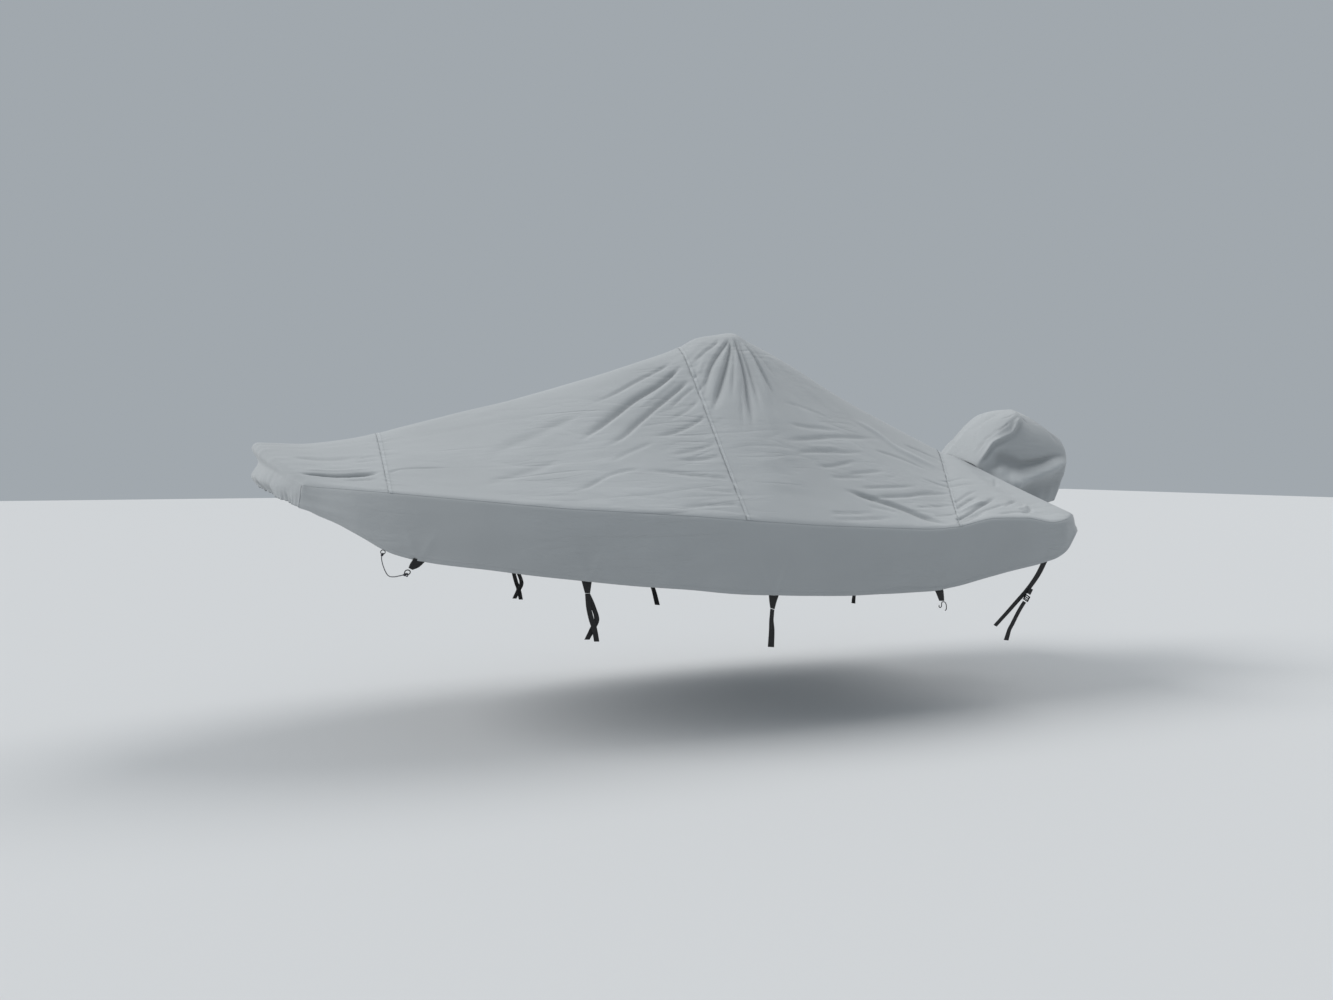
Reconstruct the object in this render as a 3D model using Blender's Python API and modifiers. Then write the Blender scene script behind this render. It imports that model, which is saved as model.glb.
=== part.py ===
"""Fitted cloth cover for an open motorboat, draped as it sits on the boat, with its tie-down straps.

The cover is a hollow tent. Its deck rises from the gunwale to a peak over the boat's console, its side
panels hang below the gunwale, and a hood at the stern stands over the outboard motor. The boat itself
isn't part of the object.

Lengths are in metres. The tables below use the boat's own directions: x runs aft from the bow tip, y is
half breadth from the centreline, and z is height. PEAK is the point under the cloth where the console
holds the cover up, and it becomes the origin of the finished object. Port is at -Y and starboard at +Y.
"""

import math
from collections import namedtuple

import bmesh
import bpy
from mathutils import Matrix, Vector

CLOTH = 0.0015
WEBBING = 0.0018
GAP = 0.0005
LAP = 0.003
CORNER_GAP = 0.014
PEAK = Vector((3.07, 0.0, 2.5335))
PORT, STARBOARD = -1, 1
SIDES = {"port": PORT, "starboard": STARBOARD}

# One row for each cross-section of the cover: its place u along the cover, the ridge, the gunwale edge
# and the hem.
Station = namedtuple("Station", "u ridge_x ridge_z rim_x rim_y rim_z hem_x hem_y hem_z crown")
STATIONS = [
    Station(-0.16, 0.050, 1.497, 0.245, 0.430, 1.392, 0.247, 0.430, 1.392, 0.10),
    Station(-0.08, -0.002, 1.562, 0.253, 0.452, 1.455, 0.246, 0.428, 1.390, 0.10),
    Station(0.00, 0.034, 1.640, 0.262, 0.472, 1.514, 0.245, 0.426, 1.388, 0.10),
    Station(0.09, 0.000, 1.722, 0.310, 0.504, 1.511, 0.300, 0.456, 1.370, 0.12),
    Station(0.13, 0.030, 1.754, 0.345, 0.527, 1.508, 0.345, 0.478, 1.346, 0.14),
    Station(0.30, 0.260, 1.747, 0.450, 0.596, 1.501, 0.450, 0.540, 1.293, 0.18),
    Station(0.42, 0.400, 1.760, 0.540, 0.652, 1.494, 0.550, 0.592, 1.235, 0.16),
    Station(0.70, 0.700, 1.815, 0.700, 0.735, 1.481, 0.710, 0.664, 1.138, 0.12),
    Station(0.85, 0.850, 1.858, 0.850, 0.795, 1.466, 0.860, 0.727, 1.096, 0.11),
    Station(1.20, 1.200, 1.950, 1.200, 0.910, 1.432, 1.200, 0.850, 1.047, 0.10),
    Station(1.60, 1.600, 2.056, 1.600, 0.994, 1.392, 1.600, 0.945, 0.988, 0.10),
    Station(2.00, 2.000, 2.174, 2.000, 1.045, 1.362, 2.000, 1.003, 0.939, 0.10),
    Station(2.35, 2.350, 2.295, 2.350, 1.073, 1.336, 2.350, 1.035, 0.901, 0.10),
    Station(2.68, 2.680, 2.416, 2.680, 1.090, 1.307, 2.680, 1.056, 0.868, 0.11),
    Station(2.82, 2.820, 2.490, 2.820, 1.093, 1.294, 2.820, 1.060, 0.856, 0.12),
    Station(2.95, 2.950, 2.517, 2.930, 1.095, 1.285, 2.930, 1.063, 0.848, 0.12),
    Station(3.08, 3.080, 2.535, 3.040, 1.096, 1.276, 3.040, 1.065, 0.841, 0.10),
    Station(3.18, 3.180, 2.489, 3.130, 1.097, 1.269, 3.130, 1.066, 0.837, 0.10),
    Station(3.55, 3.550, 2.317, 3.430, 1.096, 1.252, 3.430, 1.067, 0.825, 0.09),
    Station(3.95, 3.950, 2.113, 3.720, 1.092, 1.237, 3.720, 1.065, 0.820, 0.09),
    Station(4.40, 4.400, 1.909, 3.980, 1.084, 1.226, 3.990, 1.058, 0.821, 0.10),
    Station(4.80, 4.800, 1.738, 4.190, 1.078, 1.238, 4.190, 1.052, 0.845, 0.12),
    Station(4.95, 4.825, 1.725, 4.480, 1.063, 1.284, 4.480, 1.036, 0.897, 0.14),
    Station(5.10, 4.850, 1.716, 4.740, 1.048, 1.278, 4.760, 1.020, 0.943, 0.14),
    Station(5.22, 4.865, 1.709, 4.980, 1.034, 1.243, 4.990, 1.008, 0.984, 0.12),
    Station(5.30, 4.875, 1.705, 5.110, 1.026, 1.262, 5.130, 1.004, 1.045, 0.10),
    Station(5.36, 4.880, 1.703, 5.190, 1.020, 1.286, 5.236, 1.012, 1.170, 0.10),
]
BOW_HEM_U, BOW_EDGE_U, BOW_SEAM_U = -0.16, 0.0, 0.70
MID_SEAM_U, AFT_SEAM_U, STERN_U = 2.68, 4.80, 5.36
# The bow's front edge bends aft to the gunwale with this power, which straightens towards the bow seam.
BOW_BEND = 1.7
# Between ridge and gunwale the cloth sags by DECK_SAG, or swells by a share of it over the bow panel.
# Both fade out over SAG_EASE at the bow seam, and the side panels' belly fades out over SIDE_EASE at
# their ends.
DECK_SAG = 0.020
BOW_SWELL = 0.6
SAG_EASE = 0.5
SIDE_BELLY = 0.012
SIDE_EASE = 0.40

# Main folds. A fold is a soft trough, or a ridge where its depth is negative, that runs between two
# places on a panel, each given by its distance x aft and its share t of the way from the ridge down to
# the gunwale.
Fold = namedtuple("Fold", "side x0 t0 x1 t1 width0 width1 depth")
# FOLD_GIRTH is the cloth's length from ridge to gunwale, a fold runs on past its ends by FOLD_OVERRUN of
# its length as it dies away, and FOLD_LIP raises the cloth beside it.
FOLD_GIRTH = 1.45
FOLD_OVERRUN = 0.15
FOLD_EASE = 0.8
FOLD_LIP = 0.7
DECK_FOLDS = [
    # the fan under the peak
    Fold(PORT, 2.99, 0.11, 2.65, 0.43, 0.035, 0.060, 0.022),
    Fold(PORT, 3.00, 0.14, 2.67, 0.56, 0.035, 0.065, 0.026),
    Fold(PORT, 3.06, 0.13, 2.94, 0.60, 0.035, 0.055, 0.020),
    Fold(PORT, 3.09, 0.17, 3.04, 0.48, 0.040, 0.060, 0.016),
    Fold(STARBOARD, 2.98, 0.12, 2.71, 0.50, 0.040, 0.065, 0.022),
    Fold(STARBOARD, 3.02, 0.14, 2.86, 0.62, 0.035, 0.060, 0.024),
    Fold(STARBOARD, 3.07, 0.15, 3.05, 0.55, 0.035, 0.060, 0.020),
    Fold(STARBOARD, 3.12, 0.20, 3.22, 0.46, 0.040, 0.060, 0.014),
    # long slanting troughs forward of the peak
    Fold(PORT, 2.50, 0.14, 1.99, 0.25, 0.035, 0.050, 0.014),
    Fold(PORT, 2.62, 0.20, 1.81, 0.50, 0.040, 0.070, 0.028),
    Fold(PORT, 2.62, 0.29, 2.00, 0.56, 0.035, 0.060, 0.021),
    Fold(PORT, 2.62, 0.49, 2.32, 0.52, 0.030, 0.045, 0.012),
    Fold(STARBOARD, 2.58, 0.18, 1.92, 0.42, 0.040, 0.070, 0.024),
    Fold(STARBOARD, 2.62, 0.31, 2.10, 0.60, 0.035, 0.060, 0.019),
    # dents over the bow quarters
    Fold(PORT, 0.29, 0.78, 0.67, 0.74, 0.030, 0.040, 0.016),
    Fold(STARBOARD, 0.33, 0.80, 0.68, 0.76, 0.030, 0.040, 0.012),
    # slack troughs aft and pleats in the stern corners
    Fold(PORT, 3.43, 0.79, 4.10, 0.96, 0.040, 0.060, 0.016),
    Fold(PORT, 3.62, 0.81, 4.44, 0.61, 0.035, 0.045, 0.012),
    Fold(PORT, 4.34, 0.80, 4.60, 0.71, 0.030, 0.040, 0.012),
    Fold(PORT, 4.24, 0.93, 4.74, 0.72, 0.030, 0.040, 0.014),
    Fold(STARBOARD, 3.50, 0.76, 4.12, 0.95, 0.040, 0.060, 0.015),
    Fold(STARBOARD, 4.28, 0.90, 4.76, 0.70, 0.030, 0.045, 0.014),
]


def smooth(rows, column, u):
    """Reads a column of a table at u, on a curve through its rows that never swings past them."""
    us = [row.u for row in rows]
    values = [getattr(row, column) for row in rows]
    last = len(us) - 2
    k = min(max(sum(1 for stop in us if stop <= u) - 1, 0), last)

    def slope(i):
        return (values[i + 1] - values[i]) / (us[i + 1] - us[i])

    def tangent(i):
        if i == 0 or i == len(us) - 1:
            return slope(min(i, last))
        before, after = slope(i - 1), slope(i)
        return 0.0 if before * after <= 0 else 2 * before * after / (before + after)

    span = us[k + 1] - us[k]
    s = (u - us[k]) / span
    return (
        values[k] * (1 + 2 * s) * (1 - s) ** 2
        + values[k + 1] * s * s * (3 - 2 * s)
        + tangent(k) * span * s * (1 - s) ** 2
        - tangent(k + 1) * span * s * s * (1 - s)
    )


def arch(share):
    """Returns the height of a parabola that is 0 at shares 0 and 1, and 1 half way."""
    return 4 * share * (1 - share)


def deck_base(u, v):
    """Returns the smooth deck at station u, for v from -1 at the port gunwale to +1 at the starboard one."""
    at = {name: smooth(STATIONS, name, u) for name in Station._fields[1:]}
    t = abs(v)
    crown = at["crown"]
    blend = min(max((u - BOW_EDGE_U) / (BOW_SEAM_U - BOW_EDGE_U), 0.0), 1.0)
    bend = BOW_BEND + (1.0 - BOW_BEND) * blend
    fall = (math.sqrt(t * t + crown * crown) - crown) / (math.sqrt(1 + crown * crown) - crown)
    sag = DECK_SAG * arch(t) * min(abs(u - BOW_SEAM_U) / SAG_EASE, 1.0)
    if u < BOW_SEAM_U:
        sag *= -BOW_SWELL
    return Vector(
        (
            at["ridge_x"] + (at["rim_x"] - at["ridge_x"]) * t**bend,
            at["rim_y"] * v,
            at["ridge_z"] + (at["rim_z"] - at["ridge_z"]) * fall - sag,
        )
    )


def side_base(side, u, w):
    """Returns the side panel at station u, for w from 0 at the gunwale to 1 at the hem."""
    at = {name: smooth(STATIONS, name, u) for name in Station._fields[1:]}
    rim = Vector((at["rim_x"], side * at["rim_y"], at["rim_z"]))
    hem = Vector((at["hem_x"], side * at["hem_y"], at["hem_z"]))
    ends = min(u - BOW_EDGE_U, STERN_U - u, SIDE_EASE) / SIDE_EASE
    belly = SIDE_BELLY * arch(w) * max(ends, 0.0)
    return rim.lerp(hem, w) + Vector((0, side * belly, 0))


def normal_of(surface, a, b, step=1e-3):
    """Returns the unit normal of a surface of two parameters."""
    along = surface(a + step, b) - surface(a - step, b)
    across = surface(a, b + step) - surface(a, b - step)
    return along.cross(across).normalized()


def fold_depth(folds, side, x, t, girth=FOLD_GIRTH):
    """Returns how far the folds of one side push the cloth in at (x, t)."""
    total = 0.0
    here = Vector((x, t * girth))
    for fold in folds:
        if fold.side != side:
            continue
        start = Vector((fold.x0, fold.t0 * girth))
        run = Vector((fold.x1, fold.t1 * girth)) - start
        along = (here - start).dot(run) / run.length_squared
        if not -FOLD_OVERRUN < along < 1 + FOLD_OVERRUN:
            continue
        off = (here - start - run * along).length
        width = fold.width0 + (fold.width1 - fold.width0) * along
        q = (off / width) ** 2
        ends = math.cos(math.pi * (along - 0.5) / (1 + 2 * FOLD_OVERRUN)) ** FOLD_EASE
        total += fold.depth * ends * (1 - FOLD_LIP * q) * math.exp(-q)
    return total


def deck(u, v):
    """Returns the folded deck."""
    point = deck_base(u, v)
    side = PORT if v < 0 else STARBOARD
    depth = fold_depth(DECK_FOLDS, side, point.x, abs(v))
    if depth:
        point = point - normal_of(deck_base, u, v) * depth
    return point


def side_panel(side):
    """Returns the surface of one side panel, whose top edge stops just under the deck's edge."""

    def surface(u, w):
        point = side_base(side, u, LAP + w * (1 - LAP))
        point.z -= LAP * (1 - w)
        return point

    return surface


# The hood over the motor: a row for each line from the hood's base up over its shoulder to the top, from
# the front centre round to the back centre. The three front lines stand on the deck's aft edge, at the
# given half breadth.
HoodRib = namedtuple("HoodRib", "u base_x base_y base_z shoulder_x shoulder_y shoulder_z firm")
HOOD_RIBS = [
    HoodRib(0, None, 0.000, None, 5.210, 0.000, 2.050, 1.6),
    HoodRib(1, None, 0.140, None, 5.240, 0.170, 2.045, 1.8),
    HoodRib(2, None, 0.265, None, 5.330, 0.262, 2.030, 2.6),
    HoodRib(3, 5.110, 0.281, 1.452, 5.430, 0.285, 1.990, 2.2),
    HoodRib(4, 5.235, 0.283, 1.334, 5.560, 0.290, 1.950, 2.0),
    HoodRib(5, 5.500, 0.280, 1.326, 5.720, 0.285, 1.900, 2.0),
    HoodRib(6, 5.715, 0.240, 1.350, 5.935, 0.250, 1.800, 2.0),
    HoodRib(7, 5.800, 0.130, 1.385, 6.000, 0.140, 1.790, 2.0),
    HoodRib(8, 5.830, 0.000, 1.395, 6.020, 0.000, 1.790, 2.0),
]
HOOD_TOP = Vector((5.500, 0.0, 2.056))
# Folds of the hood: x is the distance round it from the front centre and t the share of the way up to its
# top. They start from nothing at the base over HOOD_FOLD_START, and above HOOD_TOP_SHARE all ribs run
# into one point.
HOOD_RIB_SPACING = 0.22
HOOD_GIRTH = 0.95
HOOD_FOLD_START = 0.08
HOOD_TOP_SHARE = 0.98
HOOD_FOLDS = [
    Fold(PORT, 0.52, 0.10, 1.62, 0.24, 0.050, 0.100, -0.034),
    Fold(PORT, 0.90, 0.04, 1.45, 0.06, 0.050, 0.060, 0.018),
    Fold(STARBOARD, 0.56, 0.12, 1.55, 0.20, 0.050, 0.090, -0.026),
]


def hood_rib_base(rib):
    """Returns where a rib of the hood starts."""
    if rib.base_x is not None:
        return Vector((rib.base_x, rib.base_y, rib.base_z))
    edge = deck_base(STERN_U, rib.base_y / STATIONS[-1].rim_y)
    return edge + Vector((LAP, 0, 0))


def hood_rows():
    """Returns the rib table with every base worked out."""
    rows = []
    for rib in HOOD_RIBS:
        base = hood_rib_base(rib)
        rows.append(rib._replace(base_x=base.x, base_y=base.y, base_z=base.z))
    return rows


def hood_base(rows, a, b):
    """Returns the hood for a from 0 at the front round to 16 there again, and b from its base to its top."""
    last = rows[-1].u
    side = PORT if a <= last else STARBOARD
    u = a if a <= last else 2 * last - a
    at = {name: smooth(rows, name, u) for name in HoodRib._fields[1:]}
    base = Vector((at["base_x"], side * at["base_y"], at["base_z"]))
    shoulder = Vector((at["shoulder_x"], side * at["shoulder_y"], at["shoulder_z"]))
    pull = [(1 - b) ** 2, at["firm"] * 2 * b * (1 - b), b * b]
    return (base * pull[0] + shoulder * pull[1] + HOOD_TOP * pull[2]) / sum(pull)


def hood(rows, a, b):
    """Returns the folded hood."""
    last = rows[-1].u
    side = PORT if a <= last else STARBOARD
    around = (a if a <= last else 2 * last - a) * HOOD_RIB_SPACING
    point = hood_base(rows, a, b)
    depth = fold_depth(HOOD_FOLDS, side, around, b, HOOD_GIRTH) * min(b / HOOD_FOLD_START, 1.0)
    if depth:
        low = min(b, HOOD_TOP_SHARE)
        point = point - normal_of(lambda i, j: hood_base(rows, i, j), a, low) * depth
    return point


# The transom panels close the stern on each side of the hood: their hem, from the hood out to the corner.
TransomHem = namedtuple("TransomHem", "u x y z")
TRANSOM_HEM = [
    TransomHem(0.0, 5.238, 0.288, 1.332),
    TransomHem(0.4, 5.262, 0.560, 1.232),
    TransomHem(0.8, 5.266, 0.860, 1.182),
    TransomHem(1.0, 5.240, 1.006, 1.170),
]
TRANSOM_INNER_Y = 0.288
TRANSOM_BELLY = 0.015


def transom_panel(side):
    """Returns one transom panel, for a from the hood to the corner and b from the deck to the hem."""
    outer_y = TRANSOM_HEM[-1].y

    def surface(a, b):
        y = TRANSOM_INNER_Y + (outer_y - TRANSOM_INNER_Y) * a
        top = deck_base(STERN_U, y / STATIONS[-1].rim_y) + Vector((LAP, 0, -LAP))
        hem = Vector([smooth(TRANSOM_HEM, name, a) for name in "xyz"])
        point = top.lerp(hem, b) + Vector((TRANSOM_BELLY * arch(b) * math.sin(math.pi * a), 0, 0))
        point.y *= side
        return point

    return surface


# Webbing straps: a row for each rung of a strap, with its fore and aft edge points and its half breadth.
Rung = namedtuple("Rung", "u fore_x fore_z aft_x aft_z y")
STRAPS = {
    "bow_tab": [
        Rung(0, 0.822, 1.102, 0.884, 1.086, 0.722),
        Rung(1, 0.811, 1.080, 0.858, 1.060, 0.706),
        Rung(2, 0.804, 1.058, 0.826, 1.046, 0.694),
    ],
    "fore_tab": [
        Rung(0, 1.718, 0.9715, 1.776, 0.9645, 0.956),
        Rung(1, 1.729, 0.935, 1.772, 0.932, 0.953),
        Rung(2, 1.738, 0.905, 1.768, 0.903, 0.950),
    ],
    "fore_strap_outer": [
        Rung(0, 1.738, 0.902, 1.766, 0.901, 0.953),
        Rung(1, 1.743, 0.836, 1.773, 0.834, 0.952),
        Rung(2, 1.759, 0.761, 1.790, 0.761, 0.948),
        Rung(3, 1.779, 0.697, 1.810, 0.702, 0.944),
        Rung(4, 1.794, 0.626, 1.825, 0.624, 0.940),
    ],
    "fore_strap_inner": [
        Rung(0, 1.742, 0.902, 1.770, 0.901, 0.945),
        Rung(1, 1.773, 0.832, 1.803, 0.830, 0.938),
        Rung(2, 1.797, 0.755, 1.828, 0.749, 0.932),
        Rung(3, 1.771, 0.698, 1.804, 0.691, 0.928),
        Rung(4, 1.742, 0.638, 1.772, 0.636, 0.924),
    ],
    "mid_tab": [
        Rung(0, 2.838, 0.852, 2.902, 0.846, 1.058),
        Rung(1, 2.844, 0.813, 2.891, 0.811, 1.054),
        Rung(2, 2.852, 0.776, 2.880, 0.767, 1.050),
    ],
    "mid_strap": [
        Rung(0, 2.852, 0.773, 2.879, 0.764, 1.050),
        Rung(1, 2.854, 0.712, 2.882, 0.710, 1.035),
        Rung(2, 2.867, 0.638, 2.904, 0.635, 1.005),
        Rung(3, 2.880, 0.528, 2.922, 0.523, 0.965),
    ],
    "rear_tab": [
        Rung(0, 4.028, 0.817, 4.088, 0.8185, 1.050),
        Rung(1, 4.046, 0.785, 4.095, 0.783, 1.046),
        Rung(2, 4.062, 0.757, 4.100, 0.755, 1.042),
    ],
    "stern_strap": [
        Rung(0, 4.914, 0.968, 4.966, 0.976, 1.000),
        Rung(1, 4.884, 0.905, 4.922, 0.890, 0.992),
        Rung(2, 4.830, 0.828, 4.862, 0.811, 0.984),
        Rung(3, 4.708, 0.701, 4.735, 0.685, 0.970),
        Rung(4, 4.566, 0.559, 4.592, 0.546, 0.950),
    ],
    "stern_branch": [
        Rung(0, 4.826, 0.800, 4.853, 0.787, 0.994),
        Rung(1, 4.806, 0.765, 4.832, 0.751, 0.992),
    ],
    "stern_tail": [
        Rung(0, 4.776, 0.715, 4.802, 0.701, 0.988),
        Rung(1, 4.746, 0.673, 4.773, 0.660, 0.984),
        Rung(2, 4.702, 0.587, 4.731, 0.575, 0.972),
        Rung(3, 4.666, 0.513, 4.698, 0.504, 0.960),
        Rung(4, 4.652, 0.453, 4.690, 0.447, 0.950),
    ],
}


def strap(side, rungs):
    """Returns the surface of a strap, for a along its rungs and b from its fore edge to its aft edge."""

    def surface(a, b):
        at = {name: smooth(rungs, name, a) for name in Rung._fields[1:]}
        fore = Vector((at["fore_x"], side * at["y"], at["fore_z"]))
        aft = Vector((at["aft_x"], side * at["y"], at["aft_z"]))
        return fore.lerp(aft, b)

    return surface


# Hardware on the straps.
RING_CENTRE = Vector((0.800, 0.680, 1.032))
RING_RADIUS, RING_WIRE = 0.0150, 0.0030
RING_STEPS, RING_SIDES = 16, 6
RING_LEAN = math.radians(25)
BUCKLE_CENTRE = Vector((4.804, 0.990, 0.7325))
BUCKLE_SIZE = Vector((0.042, 0.009, 0.040))
BUCKLE_LEAN = math.radians(-31)
BUCKLE_ROUND, BUCKLE_ROUND_STEPS = 0.002, 2

# A route is the hand-chosen places that a wire or cord passes, and its tube follows a smooth curve
# through them.
Place = namedtuple("Place", "x y z")
HOOK_WIRE = 0.0028
HOOK_STEP = 0.0050
HOOK_Y = 1.040
HOOK_ROUTE = [
    Place(4.064, HOOK_Y, 0.7300),
    Place(4.062, HOOK_Y, 0.7210),
    Place(4.070, HOOK_Y, 0.7135),
    Place(4.080, HOOK_Y, 0.7190),
    Place(4.082, HOOK_Y, 0.7330),
    Place(4.084, HOOK_Y, 0.7460),
    Place(4.095, HOOK_Y, 0.7495),
    Place(4.108, HOOK_Y, 0.7450),
    Place(4.116, HOOK_Y, 0.7330),
    Place(4.119, HOOK_Y, 0.7150),
    Place(4.118, HOOK_Y, 0.7000),
    Place(4.110, HOOK_Y, 0.6920),
]
BOW_CORD = 0.006
BOW_CORD_STEP = 3 * BOW_CORD
BOW_CORD_HALF = [
    Place(0.7900, 0.6560, 1.0180),
    Place(0.7760, 0.5200, 0.9970),
    Place(0.7680, 0.3500, 0.9740),
    Place(0.7640, 0.1800, 0.9560),
    Place(0.7630, 0.0600, 0.9480),
    Place(0.7630, 0.0000, 0.9465),
]

GREY_CLOTH = ("cover cloth", (0.42, 0.44, 0.45), 0.85, 0.0)
BLACK_WEBBING = ("strap webbing", (0.012, 0.012, 0.013), 0.8, 0.0)
BLACK_PLASTIC = ("buckle plastic", (0.015, 0.015, 0.016), 0.45, 0.0)
BLACK_STEEL = ("coated steel", (0.02, 0.02, 0.022), 0.35, 0.8)
CORD_BRAID = ("cord braid", (0.02, 0.02, 0.05), 0.7, 0.0)


def finish(look):
    """Returns the Principled material of a (name, colour, roughness, metallic) look, made once."""
    name, colour, roughness, metallic = look
    made = bpy.data.materials.get(name)
    if made:
        return made
    made = bpy.data.materials.new(name)
    made.use_nodes = True
    shader = made.node_tree.nodes["Principled BSDF"]
    shader.inputs["Base Color"].default_value = (*colour, 1.0)
    shader.inputs["Roughness"].default_value = roughness
    shader.inputs["Metallic"].default_value = metallic
    return made


def add(name, mesh, look, parent):
    """Puts a mesh in the object's collection under its parent, with its material."""
    piece = bpy.data.objects.new(name, mesh)
    mesh.materials.append(finish(look))
    bpy.data.collections["boat_cover"].objects.link(piece)
    piece.parent = parent
    return piece


def sheet(name, surface, rows, columns, look, parent, thickness=CLOTH, offset=-1.0, turned=False):
    """Makes a thin closed sheet by laying a grid on a surface and giving it its thickness."""
    bm = bmesh.new()
    bmesh.ops.create_grid(bm, x_segments=len(rows) - 1, y_segments=len(columns) - 1, size=1.0)
    for vert in bm.verts:
        i = round((vert.co.x + 1) / 2 * (len(rows) - 1))
        j = round((vert.co.y + 1) / 2 * (len(columns) - 1))
        vert.co = surface(rows[i], columns[j]) - PEAK
    bmesh.ops.remove_doubles(bm, verts=bm.verts, dist=1e-5)
    if turned:
        bmesh.ops.reverse_faces(bm, faces=bm.faces)
    mesh = bpy.data.meshes.new(name)
    bm.to_mesh(mesh)
    bm.free()
    piece = add(name, mesh, look, parent)
    wall = piece.modifiers.new("thickness", "SOLIDIFY")
    wall.thickness = thickness
    wall.offset = offset
    wall.use_quality_normals = True
    return piece


def places(stops, start, end, step):
    """Returns places from start to end that take in the stops between them, no more than a step apart."""
    marks = [start, *[stop for stop in stops if start + 1e-6 < stop < end - 1e-6], end]
    out = [start]
    for low, high in zip(marks, marks[1:]):
        count = max(1, math.ceil((high - low) / step - 1e-6))
        out += [low + (high - low) * (i + 1) / count for i in range(count)]
    return out


def evenly(start, end, count):
    """Returns count + 1 even places from start to end."""
    return [start + (end - start) * i / count for i in range(count + 1)]


# How finely the sheets are laid out. ACROSS_EASE crowds the deck's lines a little towards its ridge.
STATION_US = [row.u for row in STATIONS]
DECK_STEP = 0.115
ACROSS_EASE = 1.1
SIDE_DOWN = 2
TRANSOM_ACROSS, TRANSOM_DOWN = 6, 3
HOOD_AROUND, HOOD_UP = 30, 9
STRAP_STEPS = 3
Panel = namedtuple("Panel", "name start end across")
DECK_PANELS = [
    Panel("bow_panel", BOW_HEM_U, BOW_SEAM_U, 9),
    Panel("fore_deck", BOW_SEAM_U, MID_SEAM_U, 12),
    Panel("aft_deck", MID_SEAM_U, AFT_SEAM_U, 12),
    Panel("stern_deck", AFT_SEAM_U, STERN_U, 12),
]


def build_deck(parent):
    """Makes the deck's cross panels, which meet at the sewn seams."""
    for panel in DECK_PANELS:
        across = [math.copysign(abs(v) ** ACROSS_EASE, v) for v in evenly(-1, 1, 2 * panel.across)]
        first = panel.start if panel.start == BOW_HEM_U else panel.start + GAP
        rows = places(STATION_US, first, panel.end, DECK_STEP)
        sheet(panel.name, deck, rows, across, GREY_CLOTH, parent)


def build_sides(parent):
    """Makes the side panels and the transom panels."""
    for label, side in SIDES.items():
        port = side == PORT
        rows = places(STATION_US, BOW_EDGE_U + CORNER_GAP, STERN_U, DECK_STEP)
        down = evenly(0, 1, SIDE_DOWN)
        sheet(f"side_{label}", side_panel(side), rows, down, GREY_CLOTH, parent, turned=port)
        across = evenly(0, 1, TRANSOM_ACROSS)
        down = evenly(0, 1, TRANSOM_DOWN)
        sheet(f"transom_{label}", transom_panel(side), across, down, GREY_CLOTH, parent, turned=port)


def build_hood(parent):
    """Makes the motor hood, open underneath behind the transom."""
    rows = hood_rows()
    around = evenly(0, 2 * rows[-1].u, HOOD_AROUND)
    sheet("motor_hood", lambda a, b: hood(rows, a, b), around, evenly(0, 1, HOOD_UP), GREY_CLOTH, parent)


def build_straps(parent):
    """Makes the webbing straps of both sides."""
    for label, side in SIDES.items():
        for name, rungs in STRAPS.items():
            last = rungs[-1].u
            rows = evenly(0, last, STRAP_STEPS * last)
            sheet(f"{name}_{label}", strap(side, rungs), rows, [0.0, 1.0], BLACK_WEBBING, parent,
                  thickness=WEBBING, offset=0.0, turned=side == PORT)


def smooth_route(route, step):
    """Returns places about a step apart on a smooth curve through the places of a route."""
    ends = [2 * Vector(route[0]) - Vector(route[1]), 2 * Vector(route[-1]) - Vector(route[-2])]
    stops = [ends[0], *[Vector(place) for place in route], ends[1]]
    out = [stops[1]]
    for before, start, end, after in zip(stops, stops[1:], stops[2:], stops[3:]):
        leave, arrive = (end - before) / 2, (after - start) / 2
        count = max(1, round((end - start).length / step))
        for i in range(1, count + 1):
            s = i / count
            weights = (1 + 2 * s) * (1 - s) ** 2, s * s * (3 - 2 * s), s * (1 - s) ** 2, -s * s * (1 - s)
            out.append(start * weights[0] + end * weights[1] + leave * weights[2] + arrive * weights[3])
    return out


def tube(name, route, radius, look, parent):
    """Makes a round wire or cord along a route."""
    curve = bpy.data.curves.new(name, "CURVE")
    curve.dimensions = "3D"
    curve.bevel_depth = radius
    curve.bevel_resolution = 2
    curve.use_fill_caps = True
    spline = curve.splines.new("POLY")
    spline.points.add(len(route) - 1)
    for point, place in zip(spline.points, route):
        point.co = (*(place - PEAK), 1.0)
    curve.materials.append(finish(look))
    piece = bpy.data.objects.new(name, curve)
    bpy.data.collections["boat_cover"].objects.link(piece)
    piece.parent = parent
    return piece


def build_ring(label, side, parent):
    """Makes the ring that hangs at the end of a bow tab and takes the bow cord."""
    bpy.ops.mesh.primitive_torus_add(major_radius=RING_RADIUS, minor_radius=RING_WIRE,
                                     major_segments=RING_STEPS, minor_segments=RING_SIDES)
    ring = bpy.context.object
    ring.name = f"cord_ring_{label}"
    ring.location = Vector((RING_CENTRE.x, side * RING_CENTRE.y, RING_CENTRE.z)) - PEAK
    ring.rotation_euler = (side * (math.pi / 2 - RING_LEAN), 0, 0)
    adopt(ring, BLACK_PLASTIC, parent)


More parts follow.
